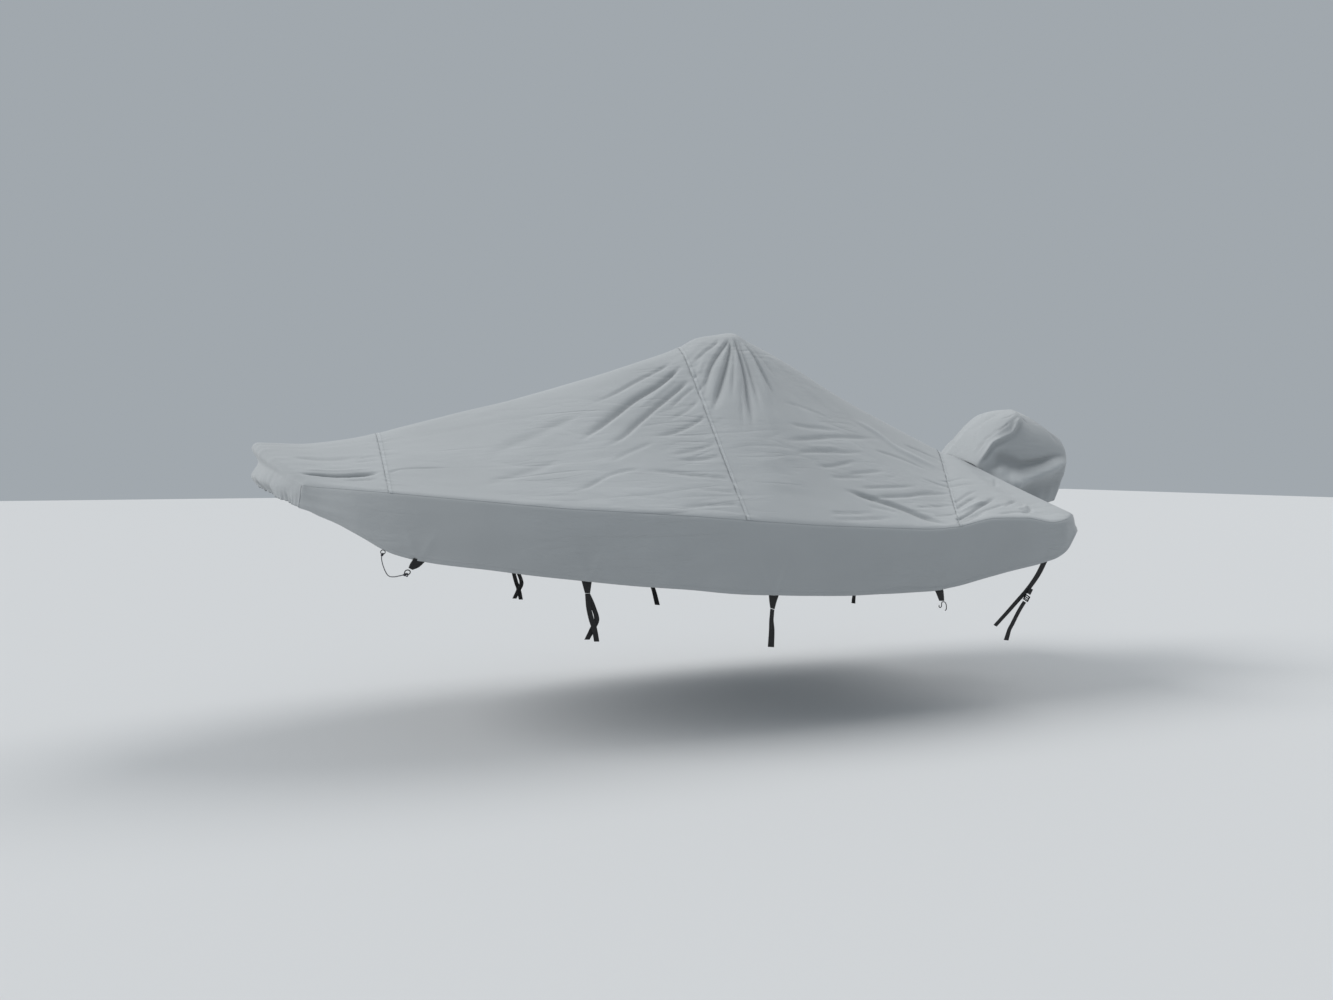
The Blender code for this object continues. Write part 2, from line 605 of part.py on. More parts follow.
def build_buckle(label, side, parent):
    """Makes the buckle between a stern strap's branch and its tail."""
    bpy.ops.mesh.primitive_cube_add(size=1.0)
    buckle = bpy.context.object
    buckle.name = f"stern_buckle_{label}"
    buckle.data.transform(Matrix.Diagonal((*BUCKLE_SIZE, 1.0)))
    buckle.location = Vector((BUCKLE_CENTRE.x, side * BUCKLE_CENTRE.y, BUCKLE_CENTRE.z)) - PEAK
    buckle.rotation_euler = (0, -BUCKLE_LEAN, 0)
    edges = buckle.modifiers.new("edges", "BEVEL")
    edges.width = BUCKLE_ROUND
    edges.segments = BUCKLE_ROUND_STEPS
    adopt(buckle, BLACK_PLASTIC, parent)


def build_hook(label, side, parent):
    """Makes the bent wire hook below a rear tab."""
    route = [place._replace(y=side * place.y) for place in HOOK_ROUTE]
    tube(f"rear_hook_{label}", smooth_route(route, HOOK_STEP), HOOK_WIRE, BLACK_STEEL, parent)


def build_bow_cord(parent):
    """Makes the cord that runs from ring to ring under the bow."""
    port = [place._replace(y=-place.y) for place in BOW_CORD_HALF]
    route = port + BOW_CORD_HALF[-2::-1]
    tube("bow_cord", smooth_route(route, BOW_CORD_STEP), BOW_CORD / 2, CORD_BRAID, parent)


def adopt(piece, look, parent):
    """Moves a primitive from the scene's collection into the object's, with its material."""
    for group in list(piece.users_collection):
        group.objects.unlink(piece)
    bpy.data.collections["boat_cover"].objects.link(piece)
    piece.data.materials.append(finish(look))
    piece.parent = parent


def main():
    """Clears the scene and builds the cover."""
    for old in list(bpy.data.objects):
        bpy.data.objects.remove(old, do_unlink=True)
    group = bpy.data.collections.new("boat_cover")
    bpy.context.scene.collection.children.link(group)
    parent = bpy.data.objects.new("cover_origin", None)
    group.objects.link(parent)
    build_deck(parent)
    build_sides(parent)
    build_hood(parent)
    build_straps(parent)
    for label, side in SIDES.items():
        build_ring(label, side, parent)
        build_buckle(label, side, parent)
        build_hook(label, side, parent)
    build_bow_cord(parent)


main()
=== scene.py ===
"""Studio scene of a fitted cloth cover for an open motorboat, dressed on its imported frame.

The cover hangs as it does on the boat: a peak over the console, long folds fanning down from it, side
panels below the gunwale, a hood over the outboard motor and black webbing tie-downs along the hem. Lengths
are in metres.

The tables use the boat's own directions, x aft from the bow tip, y half breadth and z height above the
ground. PEAK, the frame's origin, is subtracted when a mesh is made. Port is at -Y and starboard at +Y.
"""

import logging
import math
import random
from dataclasses import dataclass, field, fields
from enum import Enum
from typing import Sequence

import bpy
import numpy as np
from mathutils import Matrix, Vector


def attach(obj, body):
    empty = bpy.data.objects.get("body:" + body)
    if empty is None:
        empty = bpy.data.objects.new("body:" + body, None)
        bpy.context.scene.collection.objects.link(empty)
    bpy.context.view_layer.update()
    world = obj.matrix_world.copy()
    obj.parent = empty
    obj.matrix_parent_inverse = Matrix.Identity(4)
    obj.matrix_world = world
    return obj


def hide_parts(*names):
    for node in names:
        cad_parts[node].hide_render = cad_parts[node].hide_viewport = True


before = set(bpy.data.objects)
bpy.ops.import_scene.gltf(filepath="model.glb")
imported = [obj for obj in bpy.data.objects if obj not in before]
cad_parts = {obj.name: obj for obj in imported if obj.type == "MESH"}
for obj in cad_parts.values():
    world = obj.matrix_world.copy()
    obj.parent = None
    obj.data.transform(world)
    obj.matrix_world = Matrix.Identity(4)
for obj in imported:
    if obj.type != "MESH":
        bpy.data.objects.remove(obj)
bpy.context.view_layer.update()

LOG = logging.getLogger("boat_cover")
Array = np.ndarray
PEAK = np.array((3.07, 0.0, 2.5335))
BODY = "root"


class Side(Enum):
    """A side of the boat, with the sign of its Y."""

    PORT = -1
    STARBOARD = 1

    @property
    def label(self) -> str:
        """Returns the side's name as nodes end with it."""
        return self.name.lower()


class Slot(Enum):
    """The record's material slots."""

    CLOTH = "cover_cloth"
    WEBBING = "strap_webbing"
    PLASTIC = "buckle_plastic"
    STEEL = "coated_steel"
    BRAID = "cord_braid"


# ----------------------------------------------------------------------------
# Small curves and noise
# ----------------------------------------------------------------------------


def ease(share: Array | float) -> Array:
    """Returns a smooth step from 0 at share 0 to 1 at share 1."""
    s = np.clip(share, 0.0, 1.0)
    return s * s * (3 - 2 * s)


def arch(share: Array | float) -> Array:
    """Returns a parabola that is 0 at shares 0 and 1, and 1 half way."""
    return 4 * share * (1 - share)


def noise(a: Array, b: Array, seed: int) -> Array:
    """Returns smooth noise between about -1 and 1.

    Args:
        a: First coordinate, in cells of the noise.
        b: Second coordinate, in cells of the noise.
        seed: Which noise.

    Returns:
        One value for each place.
    """
    count = 64
    cells = np.random.default_rng(seed).uniform(-1, 1, (count, count))
    low_a, low_b = np.floor(a).astype(int), np.floor(b).astype(int)
    sa, sb = ease(a - low_a), ease(b - low_b)
    corner = [[cells[(low_a + i) % count, (low_b + j) % count] for j in (0, 1)] for i in (0, 1)]
    near = corner[0][0] * (1 - sb) + corner[0][1] * sb
    far = corner[1][0] * (1 - sb) + corner[1][1] * sb
    return near * (1 - sa) + far * sa


def smooth_line(stops: Sequence[Sequence[float]], pieces: int) -> Array:
    """Returns points on a smooth curve through the stops.

    Args:
        stops: The places that the curve passes, of two or three coordinates.
        pieces: How many straight pieces stand for each stretch between two stops.

    Returns:
        An array with one row for each point.
    """
    given = np.array(stops, float)
    stops = np.vstack([2 * given[0] - given[1], given, 2 * given[-1] - given[-2]])
    out = [stops[1:2]]
    s = (np.arange(1, pieces + 1) / pieces)[:, None]
    for before, start, end, after in zip(stops, stops[1:], stops[2:], stops[3:]):
        leave, arrive = (end - before) / 2, (after - start) / 2
        out.append(
            start * (1 + 2 * s) * (1 - s) ** 2
            + end * s * s * (3 - 2 * s)
            + leave * s * (1 - s) ** 2
            - arrive * s * s * (1 - s)
        )
    return np.vstack(out)


class SmoothTable:
    """Curves through the columns of a table that never swing past its rows."""

    def __init__(self, rows: Sequence) -> None:
        """Works out the slopes at each row; the rows' first field is where they stand."""
        key, *names = [item.name for item in fields(rows[0])]
        self.stops = np.array([getattr(row, key) for row in rows], float)
        self.columns = {}
        for name in names:
            values = np.array([getattr(row, name) for row in rows], float)
            slopes = np.diff(values) / np.diff(self.stops)
            before, after = slopes[:-1], slopes[1:]
            total = np.where(before + after == 0, 1.0, before + after)
            inner = np.where(before * after > 0, 2 * before * after / total, 0.0)
            self.columns[name] = values, np.concatenate([slopes[:1], inner, slopes[-1:]])

    def read(self, name: str, u: Array) -> Array:
        """Returns a column's values at u."""
        values, slopes = self.columns[name]
        u = np.asarray(u, float)
        k = np.clip(np.searchsorted(self.stops, u, side="right") - 1, 0, len(self.stops) - 2)
        span = self.stops[k + 1] - self.stops[k]
        s = (u - self.stops[k]) / span
        return (
            values[k] * (1 + 2 * s) * (1 - s) ** 2
            + values[k + 1] * s * s * (3 - 2 * s)
            + slopes[k] * span * s * (1 - s) ** 2
            - slopes[k + 1] * span * s * s * (1 - s)
        )

    def point(self, names: str, u: Array) -> Array:
        """Returns three columns, whose names are given in one string, as points."""
        return np.stack([self.read(name, u) for name in names.split()], axis=-1)


# ----------------------------------------------------------------------------
# Creases
# ----------------------------------------------------------------------------


@dataclass(frozen=True)
class Crease:
    """A soft trough, or a ridge where its depth is negative, along a given line on a panel.

    The line's points give the distance x along the panel and the share t of the way across it. A lean above 0
    makes the side to the left of the line's direction the gentle one, and one below 0 the right side. A sharp
    crease has a narrow bottom. It tapers in over the share fade_in of its length, and out over fade_out.
    """

    line: tuple[tuple[float, float], ...]
    start_width: float
    end_width: float
    depth: float
    lean: float = 0.0
    sharp: float = 0.0
    fade_in: float = 0.22
    fade_out: float = 0.40

    def press(self, x: Array, t: Array, girth: float) -> Array:
        """Returns how far this crease pushes the cloth in.

        Args:
            x: Distance along the panel.
            t: Share of the way across it.
            girth: The panel's breadth, which turns a share into metres.

        Returns:
            The depth at each place.
        """
        path = smooth_line([(px, pt * girth) for px, pt in self.line], 8)
        reach = 3.2 * max(self.start_width, self.end_width)
        g = t * girth
        near = (x > path[:, 0].min() - reach) & (x < path[:, 0].max() + reach)
        near &= (g > path[:, 1].min() - reach) & (g < path[:, 1].max() + reach)
        out = np.zeros_like(x)
        if not near.any():
            return out
        here = np.stack([x[near], g[near]], axis=-1)
        run = np.diff(path, axis=0)
        size = np.hypot(run[:, 0], run[:, 1])
        from_start = here[:, None, :] - path[None, :-1, :]
        share = np.clip((from_start * run).sum(-1) / size**2, 0, 1)
        off = from_start - share[..., None] * run
        apart = np.hypot(off[..., 0], off[..., 1])
        k = apart.argmin(axis=1)
        rows = np.arange(len(k))
        left = run[k, 0] * off[rows, k, 1] - run[k, 1] * off[rows, k, 0]
        before = np.concatenate([[0], np.cumsum(size)[:-1]])
        s = (before[k] + share[rows, k] * size[k]) / size.sum()
        fade = ease(s / self.fade_in) * ease((1 - s) / self.fade_out)
        width = (self.start_width + (self.end_width - self.start_width) * s) * (0.5 + 0.5 * fade)
        width = width * (1 + self.lean * np.sign(left))
        q = (apart[rows, k] / width) ** (2 - 0.9 * self.sharp)
        out[near] = self.depth * fade * (1 - 0.35 * q) * np.exp(-q)
        return out

    def moved(self, dice: random.Random) -> "Crease":
        """Returns a like crease for the other side, a little off in place, width and depth."""
        shift_x, shift_t = dice.uniform(-0.07, 0.07), dice.uniform(-0.05, 0.05)
        size = dice.uniform(0.8, 1.25)
        line = tuple((x + shift_x, min(max(t + shift_t, 0.06), 0.97)) for x, t in self.line)
        return Crease(
            line, self.start_width * size, self.end_width * size, self.depth * dice.uniform(0.55, 1.0),
            -self.lean, self.sharp, self.fade_in, self.fade_out,
        )


def press_all(creases: Sequence[Crease], x: Array, t: Array, girth: float) -> Array:
    """Returns how far a panel's creases push the cloth in, all together."""
    total = np.zeros(np.broadcast(x, t).shape)
    for crease in creases:
        total += crease.press(x, t, girth)
    return total


# The fan under the peak.
FAN = [
    Crease(((2.960, 0.065), (2.879, 0.125), (2.659, 0.194)), 0.012, 0.018, 0.0110, -0.2, 0.4),
    Crease(((3.025, 0.060), (2.988, 0.113), (2.856, 0.206), (2.77, 0.281), (2.68, 0.400)),
           0.012, 0.028, 0.0200, -0.3, 0.5, 0.18),
    Crease(((3.035, 0.070), (2.995, 0.15), (2.916, 0.25), (2.817, 0.356), (2.70, 0.475)),
           0.012, 0.034, 0.0270, -0.35, 0.5, 0.18, 0.30),
    Crease(((3.055, 0.080), (3.034, 0.138), (2.945, 0.30), (2.855, 0.45)),
           0.010, 0.018, 0.0110, 0.0, 0.5, 0.15),
    Crease(((3.066, 0.055), (3.057, 0.131), (3.028, 0.30), (2.979, 0.444), (2.939, 0.60)),
           0.012, 0.034, 0.0240, -0.3, 0.5, 0.16, 0.38),
    Crease(((3.085, 0.070), (3.086, 0.16), (3.073, 0.306), (3.038, 0.50)),
           0.011, 0.030, 0.0190, -0.35, 0.5, 0.16),
    Crease(((3.110, 0.090), (3.14, 0.17), (3.15, 0.30), (3.14, 0.46)), 0.013, 0.030, -0.0110, 0.0, 0.0, 0.2),
    Crease(((3.130, 0.080), (3.175, 0.16), (3.205, 0.29), (3.215, 0.40)),
           0.011, 0.021, 0.0140, 0.3, 0.5, 0.16),
    Crease(((3.175, 0.075), (3.262, 0.17), (3.330, 0.28)), 0.010, 0.016, 0.0060, 0.2, 0.4),
    Crease(((3.000, 0.30), (2.905, 0.50), (2.870, 0.60)), 0.011, 0.014, 0.0060, 0.0, 0.4),
    Crease(((2.731, 0.244), (2.659, 0.269)), 0.010, 0.012, 0.0070, 0.0, 0.3),
    Crease(((2.754, 0.294), (2.667, 0.344)), 0.010, 0.013, 0.0080, 0.0, 0.3),
    Crease(((2.80, 0.185), (2.74, 0.225), (2.69, 0.285)), 0.012, 0.014, -0.0060, 0.0, 0.2),
]
# Long slanting troughs forward of the peak, and short ones across the seam below them.
FORWARD = [
    Crease(((2.60, 0.115), (2.493, 0.144), (2.32, 0.175), (2.146, 0.219), (1.92, 0.26)),
           0.013, 0.022, 0.0130, 0.2, 0.5, 0.15, 0.5),
    Crease(((2.655, 0.160), (2.454, 0.238), (2.256, 0.294), (2.067, 0.381), (1.80, 0.52)),
           0.017, 0.036, 0.0260, 0.40, 0.6, 0.12, 0.35),
    Crease(((2.60, 0.215), (2.40, 0.290), (2.20, 0.365)), 0.018, 0.022, -0.0060, 0.0, 0.0),
    Crease(((2.665, 0.255), (2.43, 0.344), (2.241, 0.431), (2.099, 0.513), (1.93, 0.58)),
           0.016, 0.028, 0.0195, 0.40, 0.6, 0.12, 0.40),
    Crease(((2.67, 0.300), (2.55, 0.345), (2.44, 0.395)), 0.010, 0.014, 0.0095, 0.2, 0.3, 0.1),
    Crease(((2.67, 0.375), (2.56, 0.420), (2.40, 0.455)), 0.010, 0.016, 0.0075, 0.2, 0.3, 0.1),
    Crease(((2.67, 0.470), (2.56, 0.500), (2.43, 0.525), (2.28, 0.530)),
           0.012, 0.020, 0.0120, 0.3, 0.5, 0.08),
    Crease(((2.67, 0.615), (2.52, 0.638), (2.32, 0.652)), 0.010, 0.016, 0.0085, 0.3, 0.4, 0.08),
    Crease(((2.67, 0.682), (2.52, 0.690), (2.36, 0.683)), 0.010, 0.016, 0.0090, 0.3, 0.4, 0.08),
    Crease(((2.67, 0.800), (2.454, 0.774), (2.25, 0.745), (2.10, 0.735)),
           0.010, 0.018, 0.0090, 0.3, 0.4, 0.08),
    Crease(((2.67, 0.865), (2.56, 0.858), (2.40, 0.850)), 0.009, 0.012, 0.0050, 0.0, 0.4, 0.1),
    Crease(((2.67, 0.925), (2.43, 0.944), (2.249, 0.975)), 0.010, 0.016, 0.0085, 0.3, 0.4, 0.08),
    Crease(((2.185, 0.719), (1.964, 0.75), (1.759, 0.85), (1.62, 0.90)), 0.010, 0.020, 0.0080, 0.3, 0.5),
    Crease(((2.30, 0.560), (2.10, 0.615), (1.95, 0.680)), 0.014, 0.024, 0.0060, 0.2, 0.3),
    Crease(((1.90, 0.30), (1.55, 0.42), (1.25, 0.55)), 0.045, 0.070, 0.0070),
    Crease(((1.70, 0.62), (1.40, 0.74), (1.15, 0.86)), 0.034, 0.050, 0.0060),
]
# Dents over the bow quarters and the fine line aft of the bow seam.
BOW = [
    Crease(((0.23, 0.775), (0.34, 0.790), (0.446, 0.794), (0.56, 0.765), (0.69, 0.715)),
           0.034, 0.034, 0.0460, -0.20, 0.2, 0.35, 0.30),
    Crease(((0.46, 0.880), (0.60, 0.840), (0.69, 0.800)), 0.014, 0.014, 0.0090, 0.0, 0.3),
    Crease(((0.25, 0.70), (0.45, 0.700), (0.69, 0.640)), 0.020, 0.022, -0.0070, 0.0, 0.0),
    Crease(((0.52, 0.56), (0.61, 0.545), (0.69, 0.530)), 0.009, 0.012, 0.0060, 0.0, 0.4),
    Crease(((0.55, 0.49), (0.62, 0.475), (0.69, 0.465)), 0.009, 0.012, 0.0050, 0.0, 0.4),
    Crease(((0.714, 0.738), (0.785, 0.675), (0.92, 0.655), (1.10, 0.66)),
           0.011, 0.010, 0.0070, 0.0, 0.6, 0.1),
    Crease(((0.20, 0.45), (0.40, 0.50), (0.62, 0.44)), 0.055, 0.055, 0.0060),
]
# Slack troughs aft of the peak: long, thin, and most of them level.
AFT = [
    Crease(((3.24, 0.38), (3.38, 0.36), (3.56, 0.34), (3.75, 0.33)), 0.010, 0.014, 0.0050, 0.3, 0.4),
    Crease(((3.20, 0.505), (3.425, 0.469), (3.74, 0.388)), 0.012, 0.018, 0.0080, 0.2, 0.3),
    Crease(((3.105, 0.619), (3.461, 0.519), (3.837, 0.388), (4.13, 0.28)), 0.012, 0.022, 0.0110, -0.2, 0.3),
    Crease(((3.168, 0.669), (3.297, 0.631), (3.46, 0.594), (3.65, 0.55), (3.86, 0.48)),
           0.011, 0.017, 0.0105, -0.3, 0.5),
    Crease(((3.30, 0.600), (3.45, 0.568), (3.62, 0.525)), 0.010, 0.012, -0.0050, 0.0, 0.2),
    Crease(((3.30, 0.698), (3.445, 0.673), (3.721, 0.580)), 0.011, 0.016, 0.0085, 0.2, 0.4),
    Crease(((3.52, 0.705), (3.72, 0.650), (3.95, 0.575)), 0.010, 0.018, 0.0080, 0.2, 0.4),
    Crease(((3.37, 0.745), (3.55, 0.715), (3.77, 0.668)), 0.010, 0.014, 0.0075, 0.2, 0.4),
    Crease(((3.55, 0.775), (3.72, 0.745), (3.98, 0.680), (4.20, 0.61)), 0.010, 0.018, 0.0080, 0.2, 0.4),
    Crease(((3.88, 0.225), (4.081, 0.25), (4.236, 0.319), (4.62, 0.33)), 0.034, 0.055, -0.0130),
    Crease(((3.90, 0.44), (4.15, 0.41), (4.45, 0.42)), 0.014, 0.022, 0.0080, 0.2, 0.3),
    Crease(((3.431, 0.800), (3.60, 0.812), (3.808, 0.844), (3.961, 0.894), (4.14, 0.985)),
           0.020, 0.040, 0.0230, 0.35, 0.2, 0.25, 0.25),
    Crease(((3.60, 0.830), (3.917, 0.766), (4.18, 0.685), (4.52, 0.60)), 0.016, 0.028, 0.0130, -0.3, 0.3),
    Crease(((3.95, 0.840), (4.15, 0.800), (4.35, 0.755)), 0.011, 0.018, 0.0080, -0.2, 0.4),
    Crease(((4.05, 0.900), (4.20, 0.880), (4.33, 0.850)), 0.010, 0.014, 0.0070, -0.2, 0.4),
    Crease(((3.227, 0.944), (3.42, 0.932), (3.637, 0.913)), 0.009, 0.012, 0.0070, 0.3, 0.4),
    Crease(((3.232, 0.974), (3.50, 0.960), (3.80, 0.930)), 0.009, 0.012, 0.0060, 0.3, 0.4),
    Crease(((3.55, 0.880), (3.70, 0.885), (3.86, 0.910)), 0.009, 0.014, 0.0060, 0.3, 0.4),
    Crease(((4.30, 0.24), (4.50, 0.22), (4.72, 0.23)), 0.014, 0.020, 0.0070, 0.0, 0.2),
    Crease(((4.42, 0.50), (4.60, 0.475), (4.76, 0.47)), 0.012, 0.016, 0.0070, 0.0, 0.3),
    Crease(((4.20, 0.54), (4.40, 0.545), (4.62, 0.555), (4.77, 0.565)), 0.012, 0.016, 0.0080, 0.2, 0.4),
]
# Pleats that rise from the foot of the stern seam, and short ones farther aft.
STERN = [
    Crease(((4.334, 0.80), (4.457, 0.756), (4.60, 0.715)), 0.013, 0.020, 0.0160, -0.3, 0.3, 0.03),
    Crease(((4.36, 0.74), (4.52, 0.680), (4.66, 0.640)), 0.011, 0.016, 0.0100, -0.3, 0.3, 0.05),
    Crease(((4.215, 0.938), (4.379, 0.888), (4.58, 0.800), (4.76, 0.71)),
           0.013, 0.024, 0.0220, -0.35, 0.3, 0.03),
    Crease(((4.20, 0.955), (4.40, 0.925), (4.62, 0.860), (4.85, 0.760)),
           0.010, 0.016, 0.0110, -0.3, 0.4, 0.05),
    Crease(((4.19, 0.969), (4.293, 0.963), (4.50, 0.915)), 0.009, 0.018, 0.0130, 0.0, 0.3, 0.03),
    Crease(((4.28, 0.86), (4.50, 0.80), (4.66, 0.76)), 0.014, 0.020, -0.0120),
    Crease(((4.66, 0.870), (4.80, 0.795), (4.943, 0.706)), 0.012, 0.016, 0.0120, -0.3, 0.3),
    Crease(((4.74, 0.900), (4.88, 0.830), (5.00, 0.740)), 0.012, 0.016, -0.0080, 0.0, 0.2),
    Crease(((4.759, 0.95), (4.90, 0.870), (5.002, 0.756)), 0.013, 0.018, 0.0130, -0.3, 0.3),
    Crease(((4.50, 0.97), (4.75, 0.93), (4.95, 0.96)), 0.014, 0.022, 0.0090),
    Crease(((4.86, 0.55), (4.93, 0.50), (5.00, 0.40)), 0.014, 0.020, 0.0060),
]
DECK_GIRTH = 1.45
PORT_CREASES = [*FAN, *FORWARD, *BOW, *AFT, *STERN]
FAR_SIDE_SEED = 41


def starboard_creases() -> list[Crease]:
    """Returns the starboard creases: like the port ones, but uneven in their own way, with some missing."""
    dice = random.Random(FAR_SIDE_SEED)
    return [crease.moved(dice) for crease in PORT_CREASES if dice.random() > 0.15]


# ----------------------------------------------------------------------------
# The cover's smooth shape
# ----------------------------------------------------------------------------


@dataclass(frozen=True)
class Station:
    """One cross-section: its place u along the cover, the ridge, the gunwale edge and the hem."""

    u: float
    ridge_x: float
    ridge_z: float
    rim_x: float
    rim_y: float
    rim_z: float
    hem_x: float
    hem_y: float
    hem_z: float
    crown: float


STATIONS = [
    Station(-0.16, 0.050, 1.497, 0.245, 0.430, 1.392, 0.247, 0.430, 1.392, 0.10),
    Station(-0.08, -0.002, 1.562, 0.253, 0.452, 1.455, 0.246, 0.428, 1.390, 0.10),
    Station(0.00, 0.034, 1.640, 0.262, 0.472, 1.514, 0.245, 0.426, 1.388, 0.10),
    Station(0.09, 0.000, 1.722, 0.310, 0.504, 1.511, 0.300, 0.456, 1.370, 0.12),
    Station(0.13, 0.030, 1.754, 0.345, 0.527, 1.508, 0.345, 0.478, 1.346, 0.14),
    Station(0.30, 0.260, 1.747, 0.450, 0.596, 1.501, 0.450, 0.540, 1.293, 0.18),
    Station(0.42, 0.400, 1.760, 0.540, 0.652, 1.494, 0.550, 0.592, 1.235, 0.16),
    Station(0.70, 0.700, 1.815, 0.700, 0.735, 1.481, 0.710, 0.664, 1.138, 0.12),
    Station(0.85, 0.850, 1.858, 0.850, 0.795, 1.466, 0.860, 0.727, 1.096, 0.11),
    Station(1.20, 1.200, 1.950, 1.200, 0.910, 1.432, 1.200, 0.850, 1.047, 0.10),
    Station(1.60, 1.600, 2.056, 1.600, 0.994, 1.392, 1.600, 0.945, 0.988, 0.10),
    Station(2.00, 2.000, 2.174, 2.000, 1.045, 1.362, 2.000, 1.003, 0.939, 0.10),
    Station(2.35, 2.350, 2.295, 2.350, 1.073, 1.336, 2.350, 1.035, 0.901, 0.10),
    Station(2.68, 2.680, 2.416, 2.680, 1.090, 1.307, 2.680, 1.056, 0.868, 0.11),
    Station(2.82, 2.820, 2.490, 2.820, 1.093, 1.294, 2.820, 1.060, 0.856, 0.12),
    Station(2.95, 2.950, 2.517, 2.930, 1.095, 1.285, 2.930, 1.063, 0.848, 0.12),
    Station(3.08, 3.080, 2.535, 3.040, 1.096, 1.276, 3.040, 1.065, 0.841, 0.10),
    Station(3.18, 3.180, 2.489, 3.130, 1.097, 1.269, 3.130, 1.066, 0.837, 0.10),
    Station(3.55, 3.550, 2.317, 3.430, 1.096, 1.252, 3.430, 1.067, 0.825, 0.09),
    Station(3.95, 3.950, 2.113, 3.720, 1.092, 1.237, 3.720, 1.065, 0.820, 0.09),
    Station(4.40, 4.400, 1.909, 3.980, 1.084, 1.226, 3.990, 1.058, 0.821, 0.10),
    Station(4.80, 4.800, 1.738, 4.190, 1.078, 1.238, 4.190, 1.052, 0.845, 0.12),
    Station(4.95, 4.825, 1.725, 4.480, 1.063, 1.284, 4.480, 1.036, 0.897, 0.14),
    Station(5.10, 4.850, 1.716, 4.740, 1.048, 1.278, 4.760, 1.020, 0.943, 0.14),
    Station(5.22, 4.865, 1.709, 4.980, 1.034, 1.243, 4.990, 1.008, 0.984, 0.12),
    Station(5.30, 4.875, 1.705, 5.110, 1.026, 1.262, 5.130, 1.004, 1.045, 0.10),
    Station(5.36, 4.880, 1.703, 5.190, 1.020, 1.286, 5.236, 1.012, 1.170, 0.10),
]
BOW_HEM_U, BOW_EDGE_U, BOW_SEAM_U = -0.16, 0.0, 0.70
MID_SEAM_U, AFT_SEAM_U, STERN_U = 2.68, 4.80, 5.36


